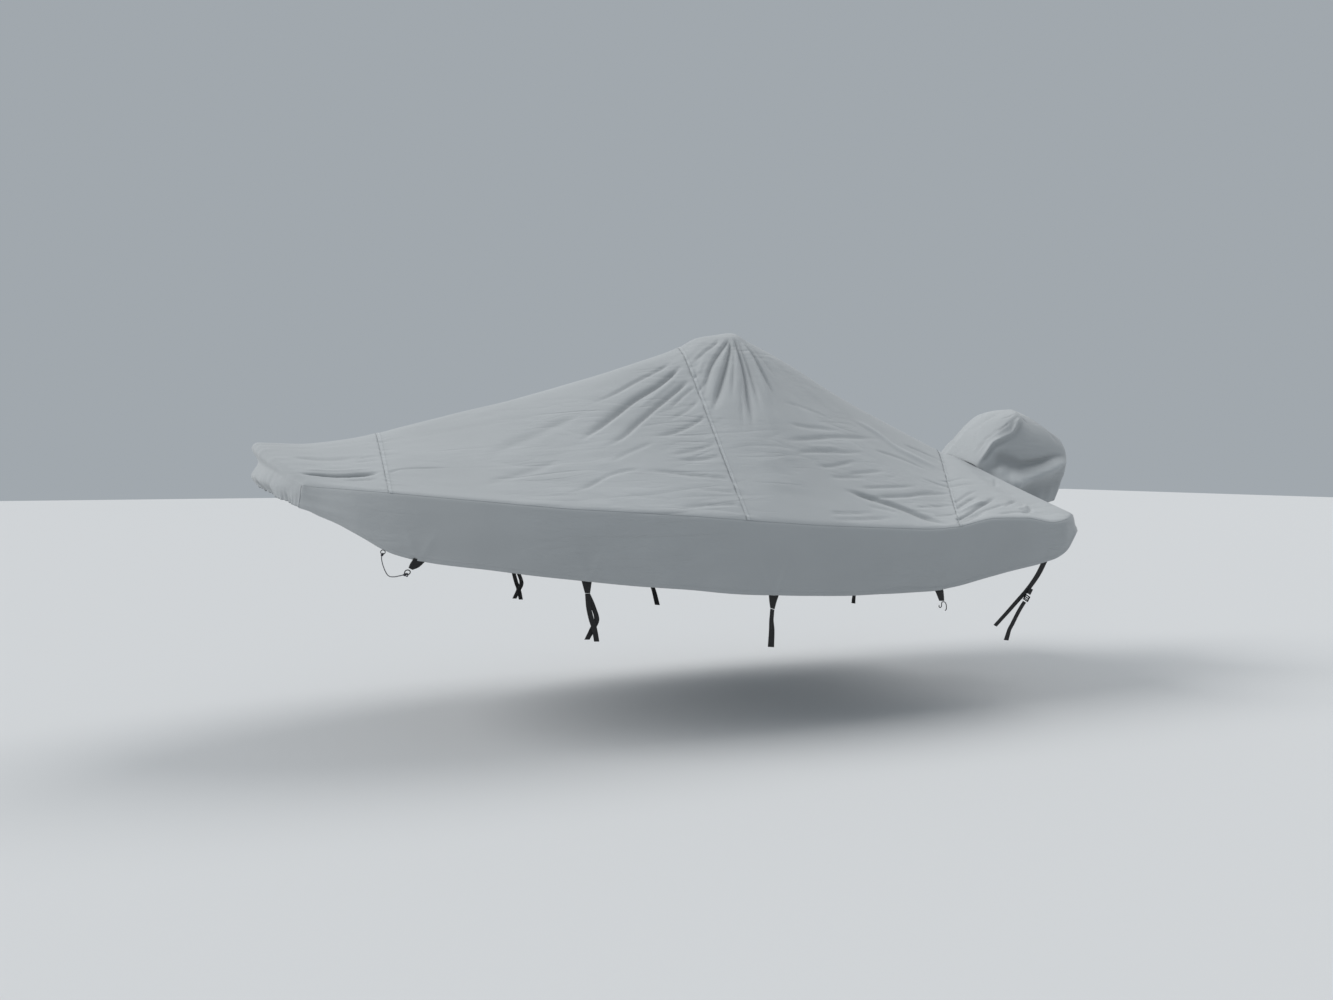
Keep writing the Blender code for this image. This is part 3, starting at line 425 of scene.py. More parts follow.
@dataclass
class CoverShape:
    """The smooth shape from the ridge over the gunwale to the hem, and the folds that lie on it.

    A place is given by its station u and its q: 0 at the ridge, 1 where the cloth starts to turn over the
    gunwale, 2 where the turn ends on the side panel, and 3 at the hem.
    """

    bow_bend: float = 1.7
    sag: float = 0.020
    bow_swell: float = 0.6
    sag_ease: float = 0.5
    belly: float = 0.012
    belly_ease: float = 0.40
    turn: float = 0.030
    turn_start: float = 0.12
    corner: float = 0.056
    corner_round: float = 1.4
    corner_length: float = 0.075
    slack: float = 0.0065
    ripple: float = 0.0016
    rays: float = 0.0030
    table: SmoothTable = field(default_factory=lambda: SmoothTable(STATIONS))
    creases: dict[Side, list[Crease]] = field(
        default_factory=lambda: {Side.PORT: PORT_CREASES, Side.STARBOARD: starboard_creases()}
    )

    def deck(self, u: Array, v: Array) -> Array:
        """Returns the smooth deck, for v from 0 at the ridge to 1 at the gunwale edge."""
        ridge_x, ridge_z = self.table.read("ridge_x", u), self.table.read("ridge_z", u)
        rim, crown = self.table.point("rim_x rim_y rim_z", u), self.table.read("crown", u)
        t = np.abs(v)
        blend = np.clip((u - BOW_EDGE_U) / (BOW_SEAM_U - BOW_EDGE_U), 0, 1)
        bend = self.bow_bend + (1 - self.bow_bend) * blend
        fall = (np.sqrt(t * t + crown * crown) - crown) / (np.sqrt(1 + crown * crown) - crown)
        sag = self.sag * arch(t) * np.minimum(np.abs(u - BOW_SEAM_U) / self.sag_ease, 1)
        sag = np.where(u < BOW_SEAM_U, -self.bow_swell * sag, sag)
        x = ridge_x + (rim[..., 0] - ridge_x) * t**bend
        z = ridge_z + (rim[..., 2] - ridge_z) * fall - sag
        return np.stack([x, rim[..., 1] * v, z], axis=-1)

    def side(self, u: Array, w: Array) -> Array:
        """Returns the smooth side panel, for w from 0 at the gunwale edge to 1 at the hem."""
        rim, hem = self.table.point("rim_x rim_y rim_z", u), self.table.point("hem_x hem_y hem_z", u)
        ends = np.clip(np.minimum(u - BOW_EDGE_U, STERN_U - u) / self.belly_ease, 0, 1)
        point = rim + (hem - rim) * w[..., None]
        point[..., 1] += self.belly * arch(w) * ends
        return point

    def turn_shares(self, u: Array) -> tuple[Array, Array]:
        """Returns the shares of the deck and the side panel before and after the gunwale's turn."""
        rim, hem = self.table.point("rim_x rim_y rim_z", u), self.table.point("hem_x hem_y hem_z", u)
        deck_size = np.hypot(rim[..., 1], self.table.read("ridge_z", u) - rim[..., 2])
        side_size = np.linalg.norm(hem - rim, axis=-1) + 1e-4
        turn = 0.0005 + self.turn * ease((u - BOW_EDGE_U) / self.turn_start)
        return 1 - turn / deck_size, np.minimum(turn / side_size, 0.3)

    def smooth(self, u: Array, q: Array) -> Array:
        """Returns the smooth shape at station u and place q, on the +Y side."""
        u, q = np.broadcast_arrays(np.asarray(u, float), np.asarray(q, float))
        before, after = self.turn_shares(u)
        top = self.deck(u, before * np.minimum(q, 1))
        s = np.clip(q - 1, 0, 1)[..., None]
        start, end, edge = self.deck(u, before), self.side(u, after), self.side(u, np.zeros_like(u))
        turn = start * (1 - s) ** 2 + edge * 2 * s * (1 - s) + end * s * s
        low = self.side(u, after + (1 - after) * np.clip(q - 2, 0, None))
        return self.rounded(u, np.where((q <= 1)[..., None], top, np.where((q < 2)[..., None], turn, low)))

    def rounded(self, u: Array, points: Array) -> Array:
        """Returns points with the stern's corners drawn in, so that the side panel turns to the transom."""
        share = np.clip((u - STERN_U + self.corner_length) / self.corner_length, 0, 1)
        drawn = self.corner * share**self.corner_round * np.clip(points[..., 1], 0, None) ** 8
        return points + drawn[..., None] * (0.5, -1, 0)

    def normal(self, u: Array, q: Array, step: float = 2e-3) -> Array:
        """Returns the outward normal of the smooth shape."""
        along = self.smooth(u + step, q) - self.smooth(u - step, q)
        across = self.smooth(u, q + step) - self.smooth(u, q - step)
        out = np.cross(along, across)
        return out / np.maximum(np.linalg.norm(out, axis=-1, keepdims=True), 1e-12)

    def girth_share(self, u: Array, q: Array) -> Array:
        """Returns how far round from the ridge a place is, as the share t that the creases use."""
        before, _ = self.turn_shares(u)
        height = self.table.read("rim_z", u) - self.table.read("hem_z", u)
        turned = np.clip(q - 1, 0, 1) * 2 * self.turn / DECK_GIRTH
        return before * np.minimum(q, 1) + turned + np.clip(q - 2, 0, 1) * height / DECK_GIRTH

    def depth(self, side: Side, u: Array, q: Array) -> Array:
        """Returns how far the cloth lies inside the smooth shape, in its creases, slack and ripples."""
        point = self.smooth(u, q)
        x, t = point[..., 0], self.girth_share(u, q)
        v = t * side.value * DECK_GIRTH
        creases = press_all(self.creases[side], x, t, DECK_GIRTH)
        slack = self.slack * noise(x / 0.48 + 3, v / 0.36 + 20, 11) * ease((u - 0.35) / 0.4)
        ripple = self.ripple * noise(x / 0.15, v / 0.07 + 30, 12) * (1 + noise(x / 0.6, v / 0.5 + 9, 13))
        away_x, away_v = x - 3.07, v
        distance = np.hypot(away_x, away_v)
        angle = np.arctan2(away_v, away_x)
        rays = self.rays * noise(angle * 7 + 20, distance * 1.6 + 5, 14) * ease((distance - 0.12) / 0.3)
        rays *= ease((1.7 - distance) / 0.8)
        edges = ease((STERN_U - u) / 0.12) * ease((u - BOW_EDGE_U) / 0.10)
        pucker = 0.0125 * ease((-0.04 - u) / 0.10) * noise(v / 0.026, u / 0.2 + 7, 15)
        gather = 0.0025 * ease((0.02 - u) / 0.10) * noise(v / 0.07 + 4, u / 0.3, 16)
        free = ease((1 - q) / 0.10)
        low = 1 - 0.6 * ease((t - 0.95) / 0.15)
        return creases + ((slack + ripple) * low + rays) * edges + (pucker + gather) * free


# ----------------------------------------------------------------------------
# Meshes
# ----------------------------------------------------------------------------


def dress(piece: bpy.types.Object, finish: bpy.types.Material, slot: Slot, *nodes: str) -> bpy.types.Object:
    """Gives a finished piece its material and its body, and hides the frame's nodes that it stands for.

    Args:
        piece: The finished object.
        finish: Its material.
        slot: The record's slot that the finish belongs to; not used.
        nodes: The frame's nodes that the piece replaces.

    Returns:
        The same object.
    """
    piece.data.materials.clear()
    piece.data.materials.append(finish)
    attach(piece, BODY)
    if nodes:
        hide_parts(*nodes)
    LOG.info("%s: %d faces", piece.name, len(piece.data.polygons))
    return piece


def new_piece(name: str, mesh: bpy.types.Mesh) -> bpy.types.Object:
    """Returns a new object in the scene that holds a mesh."""
    piece = bpy.data.objects.new(name, mesh)
    bpy.context.scene.collection.objects.link(piece)
    return piece


def grid_mesh(name: str, points: Array, uv: Array, shade: Array | None = None) -> bpy.types.Mesh:
    """Makes a smooth-shaded mesh from rows of points.

    Args:
        name: The mesh's name.
        points: Rows and columns of points in the boat's directions.
        uv: The same rows and columns of pattern places, in metres.
        shade: How deep in a fold each point lies, kept as the attribute "fold"; the cloth paints it as shade
            in troughs and highlight on ridges.

    Returns:
        The mesh, in the frame's place.
    """
    rows, columns = points.shape[:2]
    index = np.arange(rows * columns).reshape(rows, columns)
    around = [index[:-1, :-1], index[1:, :-1], index[1:, 1:], index[:-1, 1:]]
    corners = np.stack(around, axis=-1).reshape(-1, 4)
    mesh = bpy.data.meshes.new(name)
    mesh.from_pydata((points.reshape(-1, 3) - PEAK).tolist(), [], corners.tolist())
    layer = mesh.uv_layers.new(name="UVMap")
    layer.data.foreach_set("uv", uv.reshape(-1, 2)[corners.ravel()].astype(np.float32).ravel())
    # Painted shade and painted highlight for the cloth, one value per point.
    fold = mesh.attributes.new("fold", "FLOAT", "POINT")
    values = np.zeros(rows * columns) if shade is None else shade.ravel()
    fold.data.foreach_set("value", values.astype(np.float32))
    mesh.polygons.foreach_set("use_smooth", np.ones(len(corners), bool))
    mesh.update()
    return mesh


def thicken(piece: bpy.types.Object, thickness: float, offset: float = -1.0) -> None:
    """Gives an open sheet its thickness."""
    wall = piece.modifiers.new("thickness", "SOLIDIFY")
    wall.thickness = thickness
    wall.offset = offset
    wall.use_quality_normals = True


def cumulative(points: Array, axis: int) -> Array:
    """Returns each point's distance from the first one along the rows or the columns of a grid."""
    steps = np.linalg.norm(np.diff(points, axis=axis), axis=-1)
    start = np.zeros_like(np.take(steps, [0], axis=axis))
    return np.concatenate([start, np.cumsum(steps, axis=axis)], axis=axis)


def at_distance(points: Array, apart: Array, distance: float) -> Array:
    """Returns the line across a grid that lies a distance from its first row.

    Args:
        points: Rows and columns of points.
        apart: Each point's distance from the first row.
        distance: How far from the first row the line lies.

    Returns:
        One point for each column.
    """
    line = []
    for column in range(points.shape[1]):
        line.append([np.interp(distance, apart[:, column], points[:, column, axis]) for axis in range(3)])
    return np.array(line)


def swept(name: str, path: Array, radius: float, sides: int = 12, closed: bool = False) -> bpy.types.Mesh:
    """Makes a round wire or cord along a path, with a pattern that follows it.

    Args:
        name: The mesh's name.
        path: Points in the boat's directions.
        radius: Half the wire's thickness.
        sides: How many faces go round it.
        closed: Whether the path ends where it starts.

    Returns:
        A closed mesh in the frame's place.
    """
    after = np.roll(path, -1, axis=0) if closed else np.vstack([path[1:], 2 * path[-1] - path[-2]])
    before = np.roll(path, 1, axis=0) if closed else np.vstack([2 * path[0] - path[1], path[:-1]])
    tangents = after - before
    tangents /= np.linalg.norm(tangents, axis=1, keepdims=True)
    guide = np.array((0.0, 0.0, 1.0)) if abs(tangents[0][2]) < 0.9 else np.array((0.0, 1.0, 0.0))
    first = np.cross(tangents[0], guide)
    frames = [first / np.linalg.norm(first)]
    for tangent in tangents[1:]:
        carried = frames[-1] - tangent * (frames[-1] @ tangent)
        frames.append(carried / np.linalg.norm(carried))
    turn = np.linspace(0, 2 * math.pi, sides, endpoint=False)
    across = np.array(frames)[:, None, :] * np.cos(turn)[None, :, None]
    up = np.cross(tangents, np.array(frames))[:, None, :] * np.sin(turn)[None, :, None]
    points = (path[:, None, :] + radius * (across + up)).reshape(-1, 3)
    rings, faces, places = len(path), [], []
    run = np.concatenate([[0], np.cumsum(np.linalg.norm(np.diff(path, axis=0), axis=1))])
    for i in range(rings if closed else rings - 1):
        j = (i + 1) % rings
        end = run[j] if j else run[-1] + (run[1] - run[0])
        for k in range(sides):
            m = (k + 1) % sides
            faces.append((i * sides + k, i * sides + m, j * sides + m, j * sides + k))
            low, high = k * 2 * math.pi * radius / sides, (k + 1) * 2 * math.pi * radius / sides
            places += [(run[i], low), (run[i], high), (end, high), (end, low)]
    if not closed:
        caps = [tuple(reversed(range(sides))), tuple((rings - 1) * sides + k for k in range(sides))]
        faces += caps
        places += [(0.0, 0.0)] * (2 * sides)
    mesh = bpy.data.meshes.new(name)
    mesh.from_pydata((points - PEAK).tolist(), [], faces)
    layer = mesh.uv_layers.new(name="UVMap")
    layer.data.foreach_set("uv", np.array(places, np.float32).ravel())
    mesh.shade_smooth()
    return mesh


def join(name: str, meshes: Sequence[bpy.types.Mesh]) -> bpy.types.Object:
    """Joins meshes into one piece."""
    pieces = [new_piece(f"{name}_{index}", mesh) for index, mesh in enumerate(meshes)]
    with bpy.context.temp_override(active_object=pieces[0], selected_editable_objects=pieces):
        bpy.ops.object.join()
    pieces[0].name = name
    return pieces[0]


# ----------------------------------------------------------------------------
# Finishes
# ----------------------------------------------------------------------------


class Nodes:
    """Adds and links the nodes of one tree."""

    def __init__(self, tree: bpy.types.NodeTree) -> None:
        """Keeps the tree."""
        self.tree = tree

    def add(self, kind: str, inputs: dict | None = None, **settings: object) -> bpy.types.Node:
        """Adds a node.

        Args:
            kind: The node's type.
            inputs: Values for its input sockets, or sockets to link to them.
            settings: Its own properties.

        Returns:
            The new node.
        """
        node = self.tree.nodes.new(kind)
        for name, value in settings.items():
            setattr(node, name, value)
        for key, value in (inputs or {}).items():
            if isinstance(value, bpy.types.NodeSocket):
                self.tree.links.new(value, node.inputs[key])
            else:
                node.inputs[key].default_value = value
        return node

    def math(self, kind: str, *values: object) -> bpy.types.NodeSocket:
        """Returns the result of a Math node on numbers or sockets."""
        return self.add("ShaderNodeMath", dict(enumerate(values)), operation=kind).outputs[0]

    def group(self, tree: bpy.types.NodeTree, inputs: dict) -> bpy.types.Node:
        """Adds a shared node group with its own values."""
        node = self.tree.nodes.new("ShaderNodeGroup")
        node.node_tree = tree
        for key, value in inputs.items():
            if isinstance(value, bpy.types.NodeSocket):
                self.tree.links.new(value, node.inputs[key])
            else:
                node.inputs[key].default_value = value
        return node


def shader_group(
    name: str, inputs: dict[str, object], outputs: dict[str, str],
) -> tuple[bpy.types.NodeTree, Nodes]:
    """Starts a shared shader group.

    Args:
        name: The group's name.
        inputs: Each input's name with its default: a number, a vector of 3 or a colour of 4.
        outputs: Each output's name with its socket type.

    Returns:
        The tree, with its input and output nodes, and the helper that adds to it.
    """
    tree = bpy.data.node_groups.new(name, "ShaderNodeTree")
    for key, value in inputs.items():
        size = 1 if isinstance(value, float) else len(value)
        kind = {1: "NodeSocketFloat", 3: "NodeSocketVector", 4: "NodeSocketColor"}[size]
        socket = tree.interface.new_socket(key, in_out="INPUT", socket_type=kind)
        socket.default_value = value
    for key, kind in outputs.items():
        tree.interface.new_socket(key, in_out="OUTPUT", socket_type=kind)
    tree.nodes.new("NodeGroupInput")
    tree.nodes.new("NodeGroupOutput")
    return tree, Nodes(tree)


def weave_group() -> bpy.types.NodeTree:
    """Builds the plain weave: threads over and under each other, on the piece's UV map in metres."""
    tree, add = shader_group(
        "plain_weave", {"Place": (0.0, 0.0, 0.0), "Pitch": 0.001},
        {"Height": "NodeSocketFloat", "Gap": "NodeSocketFloat"},
    )
    given, out = tree.nodes["Group Input"].outputs, tree.nodes["Group Output"].inputs
    parts = add.add("ShaderNodeSeparateXYZ", {0: given["Place"]}).outputs
    across, along = (add.math("DIVIDE", parts[axis], given["Pitch"]) for axis in (0, 1))
    turns = [add.math("MULTIPLY", x, math.pi) for x in (across, along)]
    waves = [add.math("ABSOLUTE", add.math("SINE", turn)) for turn in turns]
    cell = add.math("ADD", add.math("FLOOR", across), add.math("FLOOR", along))
    over = add.math("PINGPONG", cell, 1.0)
    height = add.add("ShaderNodeMix", {0: over, 2: waves[0], 3: waves[1]}, data_type="FLOAT").outputs[0]
    tree.links.new(height, out["Height"])
    tree.links.new(add.math("LESS_THAN", height, 0.25), out["Gap"])
    return tree


def weather_group() -> bpy.types.NodeTree:
    """Builds uneven colour: soft mottling and fine speckle, with painted shade in folds and painted highlight
    on ridges.
    """
    tree, add = shader_group(
        "weathering",
        {"Place": (0.0, 0.0, 0.0), "Colour": (0.4, 0.4, 0.4, 1.0), "Mottle": 0.1, "Size": 2.0, "Fold": 0.0,
         "Fold Shade": 0.2},
        {"Colour": "NodeSocketColor", "Mask": "NodeSocketFloat"},
    )
    given, out = tree.nodes["Group Input"].outputs, tree.nodes["Group Output"].inputs
    soft = add.add("ShaderNodeTexNoise", {"Vector": given["Place"], "Scale": given["Size"], "Detail": 3.0})
    size = add.math("MULTIPLY", given["Size"], 30.0)
    fine = add.add("ShaderNodeTexNoise", {"Vector": given["Place"], "Scale": size, "Detail": 2.0})
    shares = [add.math("MULTIPLY", soft.outputs[0], 0.75), add.math("MULTIPLY", fine.outputs[0], 0.25)]
    both = add.math("ADD", *shares)
    spread = add.math("MULTIPLY", add.math("SUBTRACT", both, 0.5), given["Mottle"])
    # Painted shade: the Fold input darkens the colour in troughs, and lightens it as a painted highlight
    # where it is below 0.
    fold = add.math("MULTIPLY", given["Fold"], given["Fold Shade"])
    tone = add.math("SUBTRACT", add.math("ADD", 1.0, spread), fold)
    scaled = add.add("ShaderNodeVectorMath", {0: given["Colour"]}, operation="SCALE")
    tree.links.new(tone, scaled.inputs["Scale"])
    tree.links.new(scaled.outputs[0], out["Colour"])
    tree.links.new(both, out["Mask"])
    return tree


def ribs_group() -> bpy.types.NodeTree:
    """Builds webbing's cross ribs, broken by the thread that runs along them."""
    tree, add = shader_group(
        "webbing_ribs", {"Place": (0.0, 0.0, 0.0), "Pitch": 0.002, "Slant": 0.5},
        {"Height": "NodeSocketFloat"},
    )
    given, out = tree.nodes["Group Input"].outputs, tree.nodes["Group Output"].inputs
    parts = add.add("ShaderNodeSeparateXYZ", {0: given["Place"]}).outputs
    column = add.math("DIVIDE", parts[1], given["Pitch"])
    lean = add.math("MULTIPLY", add.math("PINGPONG", column, 1.0), given["Slant"])
    row = add.math("ADD", add.math("DIVIDE", parts[0], given["Pitch"]), lean)
    rib = add.math("ABSOLUTE", add.math("SINE", add.math("MULTIPLY", row, math.pi)))
    thread = add.math("ABSOLUTE", add.math("SINE", add.math("MULTIPLY", column, math.pi)))
    tree.links.new(add.math("MULTIPLY", rib, add.math("POWER", thread, 0.4)), out["Height"])
    return tree


def crumple_group() -> bpy.types.NodeTree:
    """Builds fine slack creases, long fore and aft, that come and go in patches."""
    tree, add = shader_group(
        "fine_creases", {"Place": (0.0, 0.0, 0.0), "Size": 1.0}, {"Height": "NodeSocketFloat"},
    )
    given, out = tree.nodes["Group Input"].outputs, tree.nodes["Group Output"].inputs
    total = None
    for stretch, share, offset in (((1.3, 6.0, 9.0), 1.0, 0.0), ((3.2, 15.0, 21.0), 0.40, 3.7)):
        scale = add.add("ShaderNodeVectorMath", {0: given["Place"], 1: stretch}, operation="MULTIPLY")
        moved = add.add("ShaderNodeVectorMath", {0: scale.outputs[0], 1: (offset,) * 3}, operation="ADD")
        lines = add.add("ShaderNodeTexNoise", {
            "Vector": moved.outputs[0], "Scale": given["Size"], "Detail": 1.0, "Distortion": 0.4,
        })
        ridge = add.math("ABSOLUTE", add.math("SUBTRACT", lines.outputs[0], 0.5))
        sharp = add.math("MULTIPLY", add.math("SMOOTH_MIN", ridge, 0.10, 0.05), share * 6.0)
        total = sharp if total is None else add.math("ADD", total, sharp)
    patch = add.add("ShaderNodeTexNoise", {"Vector": given["Place"], "Scale": 1.7, "Detail": 1.0})
    mask = add.add("ShaderNodeMapRange", {0: patch.outputs[0], 1: 0.42, 2: 0.62}, clamp=True)
    tree.links.new(add.math("MULTIPLY", total, mask.outputs[0]), out["Height"])
    return tree


class Groups:
    """The shared shader groups, built once."""

    def __init__(self) -> None:
        """Builds the groups."""
        self.weave = weave_group()
        self.weather = weather_group()
        self.ribs = ribs_group()
        self.crumple = crumple_group()


@dataclass(frozen=True)
class Finish:
    """What every finish has: a name, a colour and how it takes light."""

    name: str
    colour: tuple[float, float, float]
    roughness: float

    def start(self) -> tuple[bpy.types.Material, Nodes, bpy.types.Node]:
        """Returns a new material, the helper for its nodes and its Principled shader."""
        made = bpy.data.materials.new(self.name)
        made.use_nodes = True
        shader = made.node_tree.nodes["Principled BSDF"]
        shader.inputs["Roughness"].default_value = self.roughness
        return made, Nodes(made.node_tree), shader


@dataclass(frozen=True)
class CoverCloth(Finish):
    """Coated polyester: dull, finely woven, a little uneven, with painted shade in its folds and painted
    highlight on its ridges.
    """

    pitch: float = 0.0011
    relief: float = 0.00012
    crumple: float = 0.0045
    mottle: float = 0.10
    # How strongly the fold depths paint shade into the troughs and highlight onto the ridges.
    fold_shade: float = 0.10

    def build(self, groups: Groups) -> bpy.types.Material:
        """Returns the material."""
        made, add, shader = self.start()
        uv = add.add("ShaderNodeUVMap", uv_map="UVMap").outputs[0]
        place = add.add("ShaderNodeTexCoord").outputs["Object"]
        # This attribute carries the painted shade of folds and seam grooves and the painted highlight of
        # ridges and seam bands.
        fold = add.add("ShaderNodeAttribute", attribute_name="fold").outputs["Fac"]
        weave = add.group(groups.weave, {"Place": uv, "Pitch": self.pitch})
        weather = add.group(groups.weather, {
            "Place": place, "Colour": (*self.colour, 1.0), "Mottle": self.mottle, "Size": 2.3, "Fold": fold,
            "Fold Shade": self.fold_shade,
        })
        threads = add.add("ShaderNodeVectorMath", {0: weather.outputs["Colour"]}, operation="SCALE")
        tone = add.math("SUBTRACT", 1.03, add.math("MULTIPLY", weave.outputs["Gap"], 0.12))
        made.node_tree.links.new(tone, threads.inputs["Scale"])
        made.node_tree.links.new(threads.outputs[0], shader.inputs["Base Color"])
        rough = add.math("ADD", self.roughness - 0.05, add.math("MULTIPLY", weather.outputs["Mask"], 0.10))
        made.node_tree.links.new(rough, shader.inputs["Roughness"])
        crumple = add.group(groups.crumple, {"Place": place})
        creased = add.add("ShaderNodeBump", {"Height": crumple.outputs["Height"], "Strength": 1.0,
                                             "Distance": self.crumple})
        bump = add.add("ShaderNodeBump", {"Height": weave.outputs["Height"], "Strength": 0.6,
                                          "Distance": self.relief, "Normal": creased.outputs[0]})
        made.node_tree.links.new(bump.outputs[0], shader.inputs["Normal"])
        shader.inputs["Specular IOR Level"].default_value = 0.35
        shader.inputs["Sheen Weight"].default_value = 0.08
        shader.inputs["Sheen Roughness"].default_value = 0.6
        return made


@dataclass(frozen=True)
class Webbing(Finish):
    """Flat woven webbing or braid with its ribs."""

    pitch: float = 0.0022
    relief: float = 0.0004
    slant: float = 0.5

    def build(self, groups: Groups) -> bpy.types.Material:
        """Returns the material."""
        made, add, shader = self.start()
        uv = add.add("ShaderNodeUVMap", uv_map="UVMap").outputs[0]
        place = add.add("ShaderNodeTexCoord").outputs["Object"]
        ribs = add.group(groups.ribs, {"Place": uv, "Pitch": self.pitch, "Slant": self.slant})
        weather = add.group(groups.weather, {"Place": place, "Colour": (*self.colour, 1.0), "Mottle": 0.5,
                                             "Size": 14.0})
        # The rib height paints the colour: painted shade between the ribs and painted highlight on their
        # crests.
        lit = add.add("ShaderNodeVectorMath", {0: weather.outputs["Colour"]}, operation="SCALE")
        tone = add.math("ADD", 0.7, add.math("MULTIPLY", ribs.outputs["Height"], 0.5))
        made.node_tree.links.new(tone, lit.inputs["Scale"])
        made.node_tree.links.new(lit.outputs[0], shader.inputs["Base Color"])
        bump = add.add("ShaderNodeBump", {"Height": ribs.outputs["Height"], "Strength": 0.8,
                                          "Distance": self.relief})
        made.node_tree.links.new(bump.outputs[0], shader.inputs["Normal"])
        shader.inputs["Sheen Weight"].default_value = 0.15
        return made


@dataclass(frozen=True)
class Hardware(Finish):
    """Moulded plastic or coated steel, scuffed in patches."""

    metallic: float = 0.0
    scuff: float = 0.25

    def build(self, groups: Groups) -> bpy.types.Material:
        """Returns the material."""
        made, add, shader = self.start()
        place = add.add("ShaderNodeTexCoord").outputs["Object"]
        weather = add.group(groups.weather, {"Place": place, "Colour": (*self.colour, 1.0), "Mottle": 0.8,
                                             "Size": 40.0})
        made.node_tree.links.new(weather.outputs["Colour"], shader.inputs["Base Color"])
        rough = add.math("ADD", self.roughness, add.math("MULTIPLY", weather.outputs["Mask"], self.scuff))
        made.node_tree.links.new(rough, shader.inputs["Roughness"])
        bump = add.add("ShaderNodeBump", {
            "Height": weather.outputs["Mask"], "Strength": 0.3, "Distance": 0.0003,
        })
        made.node_tree.links.new(bump.outputs[0], shader.inputs["Normal"])
        shader.inputs["Metallic"].default_value = self.metallic
        shader.inputs["Specular IOR Level"].default_value = 0.3
        return made


@dataclass(frozen=True)
class Thread(Finish):
    """Sewing thread, slightly lighter than the cloth."""

    def build(self, groups: Groups) -> bpy.types.Material:
        """Returns the material."""
        made, add, shader = self.start()
        place = add.add("ShaderNodeTexCoord").outputs["Object"]
        weather = add.group(groups.weather, {"Place": place, "Colour": (*self.colour, 1.0), "Mottle": 0.6,
                                             "Size": 60.0})
        made.node_tree.links.new(weather.outputs["Colour"], shader.inputs["Base Color"])
        bump = add.add("ShaderNodeBump", {
            "Height": weather.outputs["Mask"], "Strength": 0.4, "Distance": 0.0002,
        })
        made.node_tree.links.new(bump.outputs[0], shader.inputs["Normal"])
        return made


@dataclass
class Finishes:
    """All the object's materials."""

    groups: Groups = field(default_factory=Groups)

    def __post_init__(self) -> None:
        """Builds each material."""
        self.cloth = CoverCloth("cover_cloth", (0.400, 0.420, 0.432), 0.78).build(self.groups)
        self.webbing = Webbing("strap_webbing", (0.011, 0.011, 0.012), 0.75).build(self.groups)
        braid = Webbing("cord_braid", (0.014, 0.014, 0.030), 0.65, 0.0016, 0.0003, 1.0)
        self.braid = braid.build(self.groups)
        self.plastic = Hardware("buckle_plastic", (0.010, 0.010, 0.011), 0.50).build(self.groups)
        self.steel = Hardware("coated_steel", (0.012, 0.012, 0.013), 0.42, 0.25).build(self.groups)
        self.seam_thread = Thread("seam_thread", (0.36, 0.375, 0.385), 0.7).build(self.groups)
        self.strap_thread = Thread("strap_thread", (0.030, 0.030, 0.032), 0.7).build(self.groups)


# ----------------------------------------------------------------------------
# Stitches
# ----------------------------------------------------------------------------


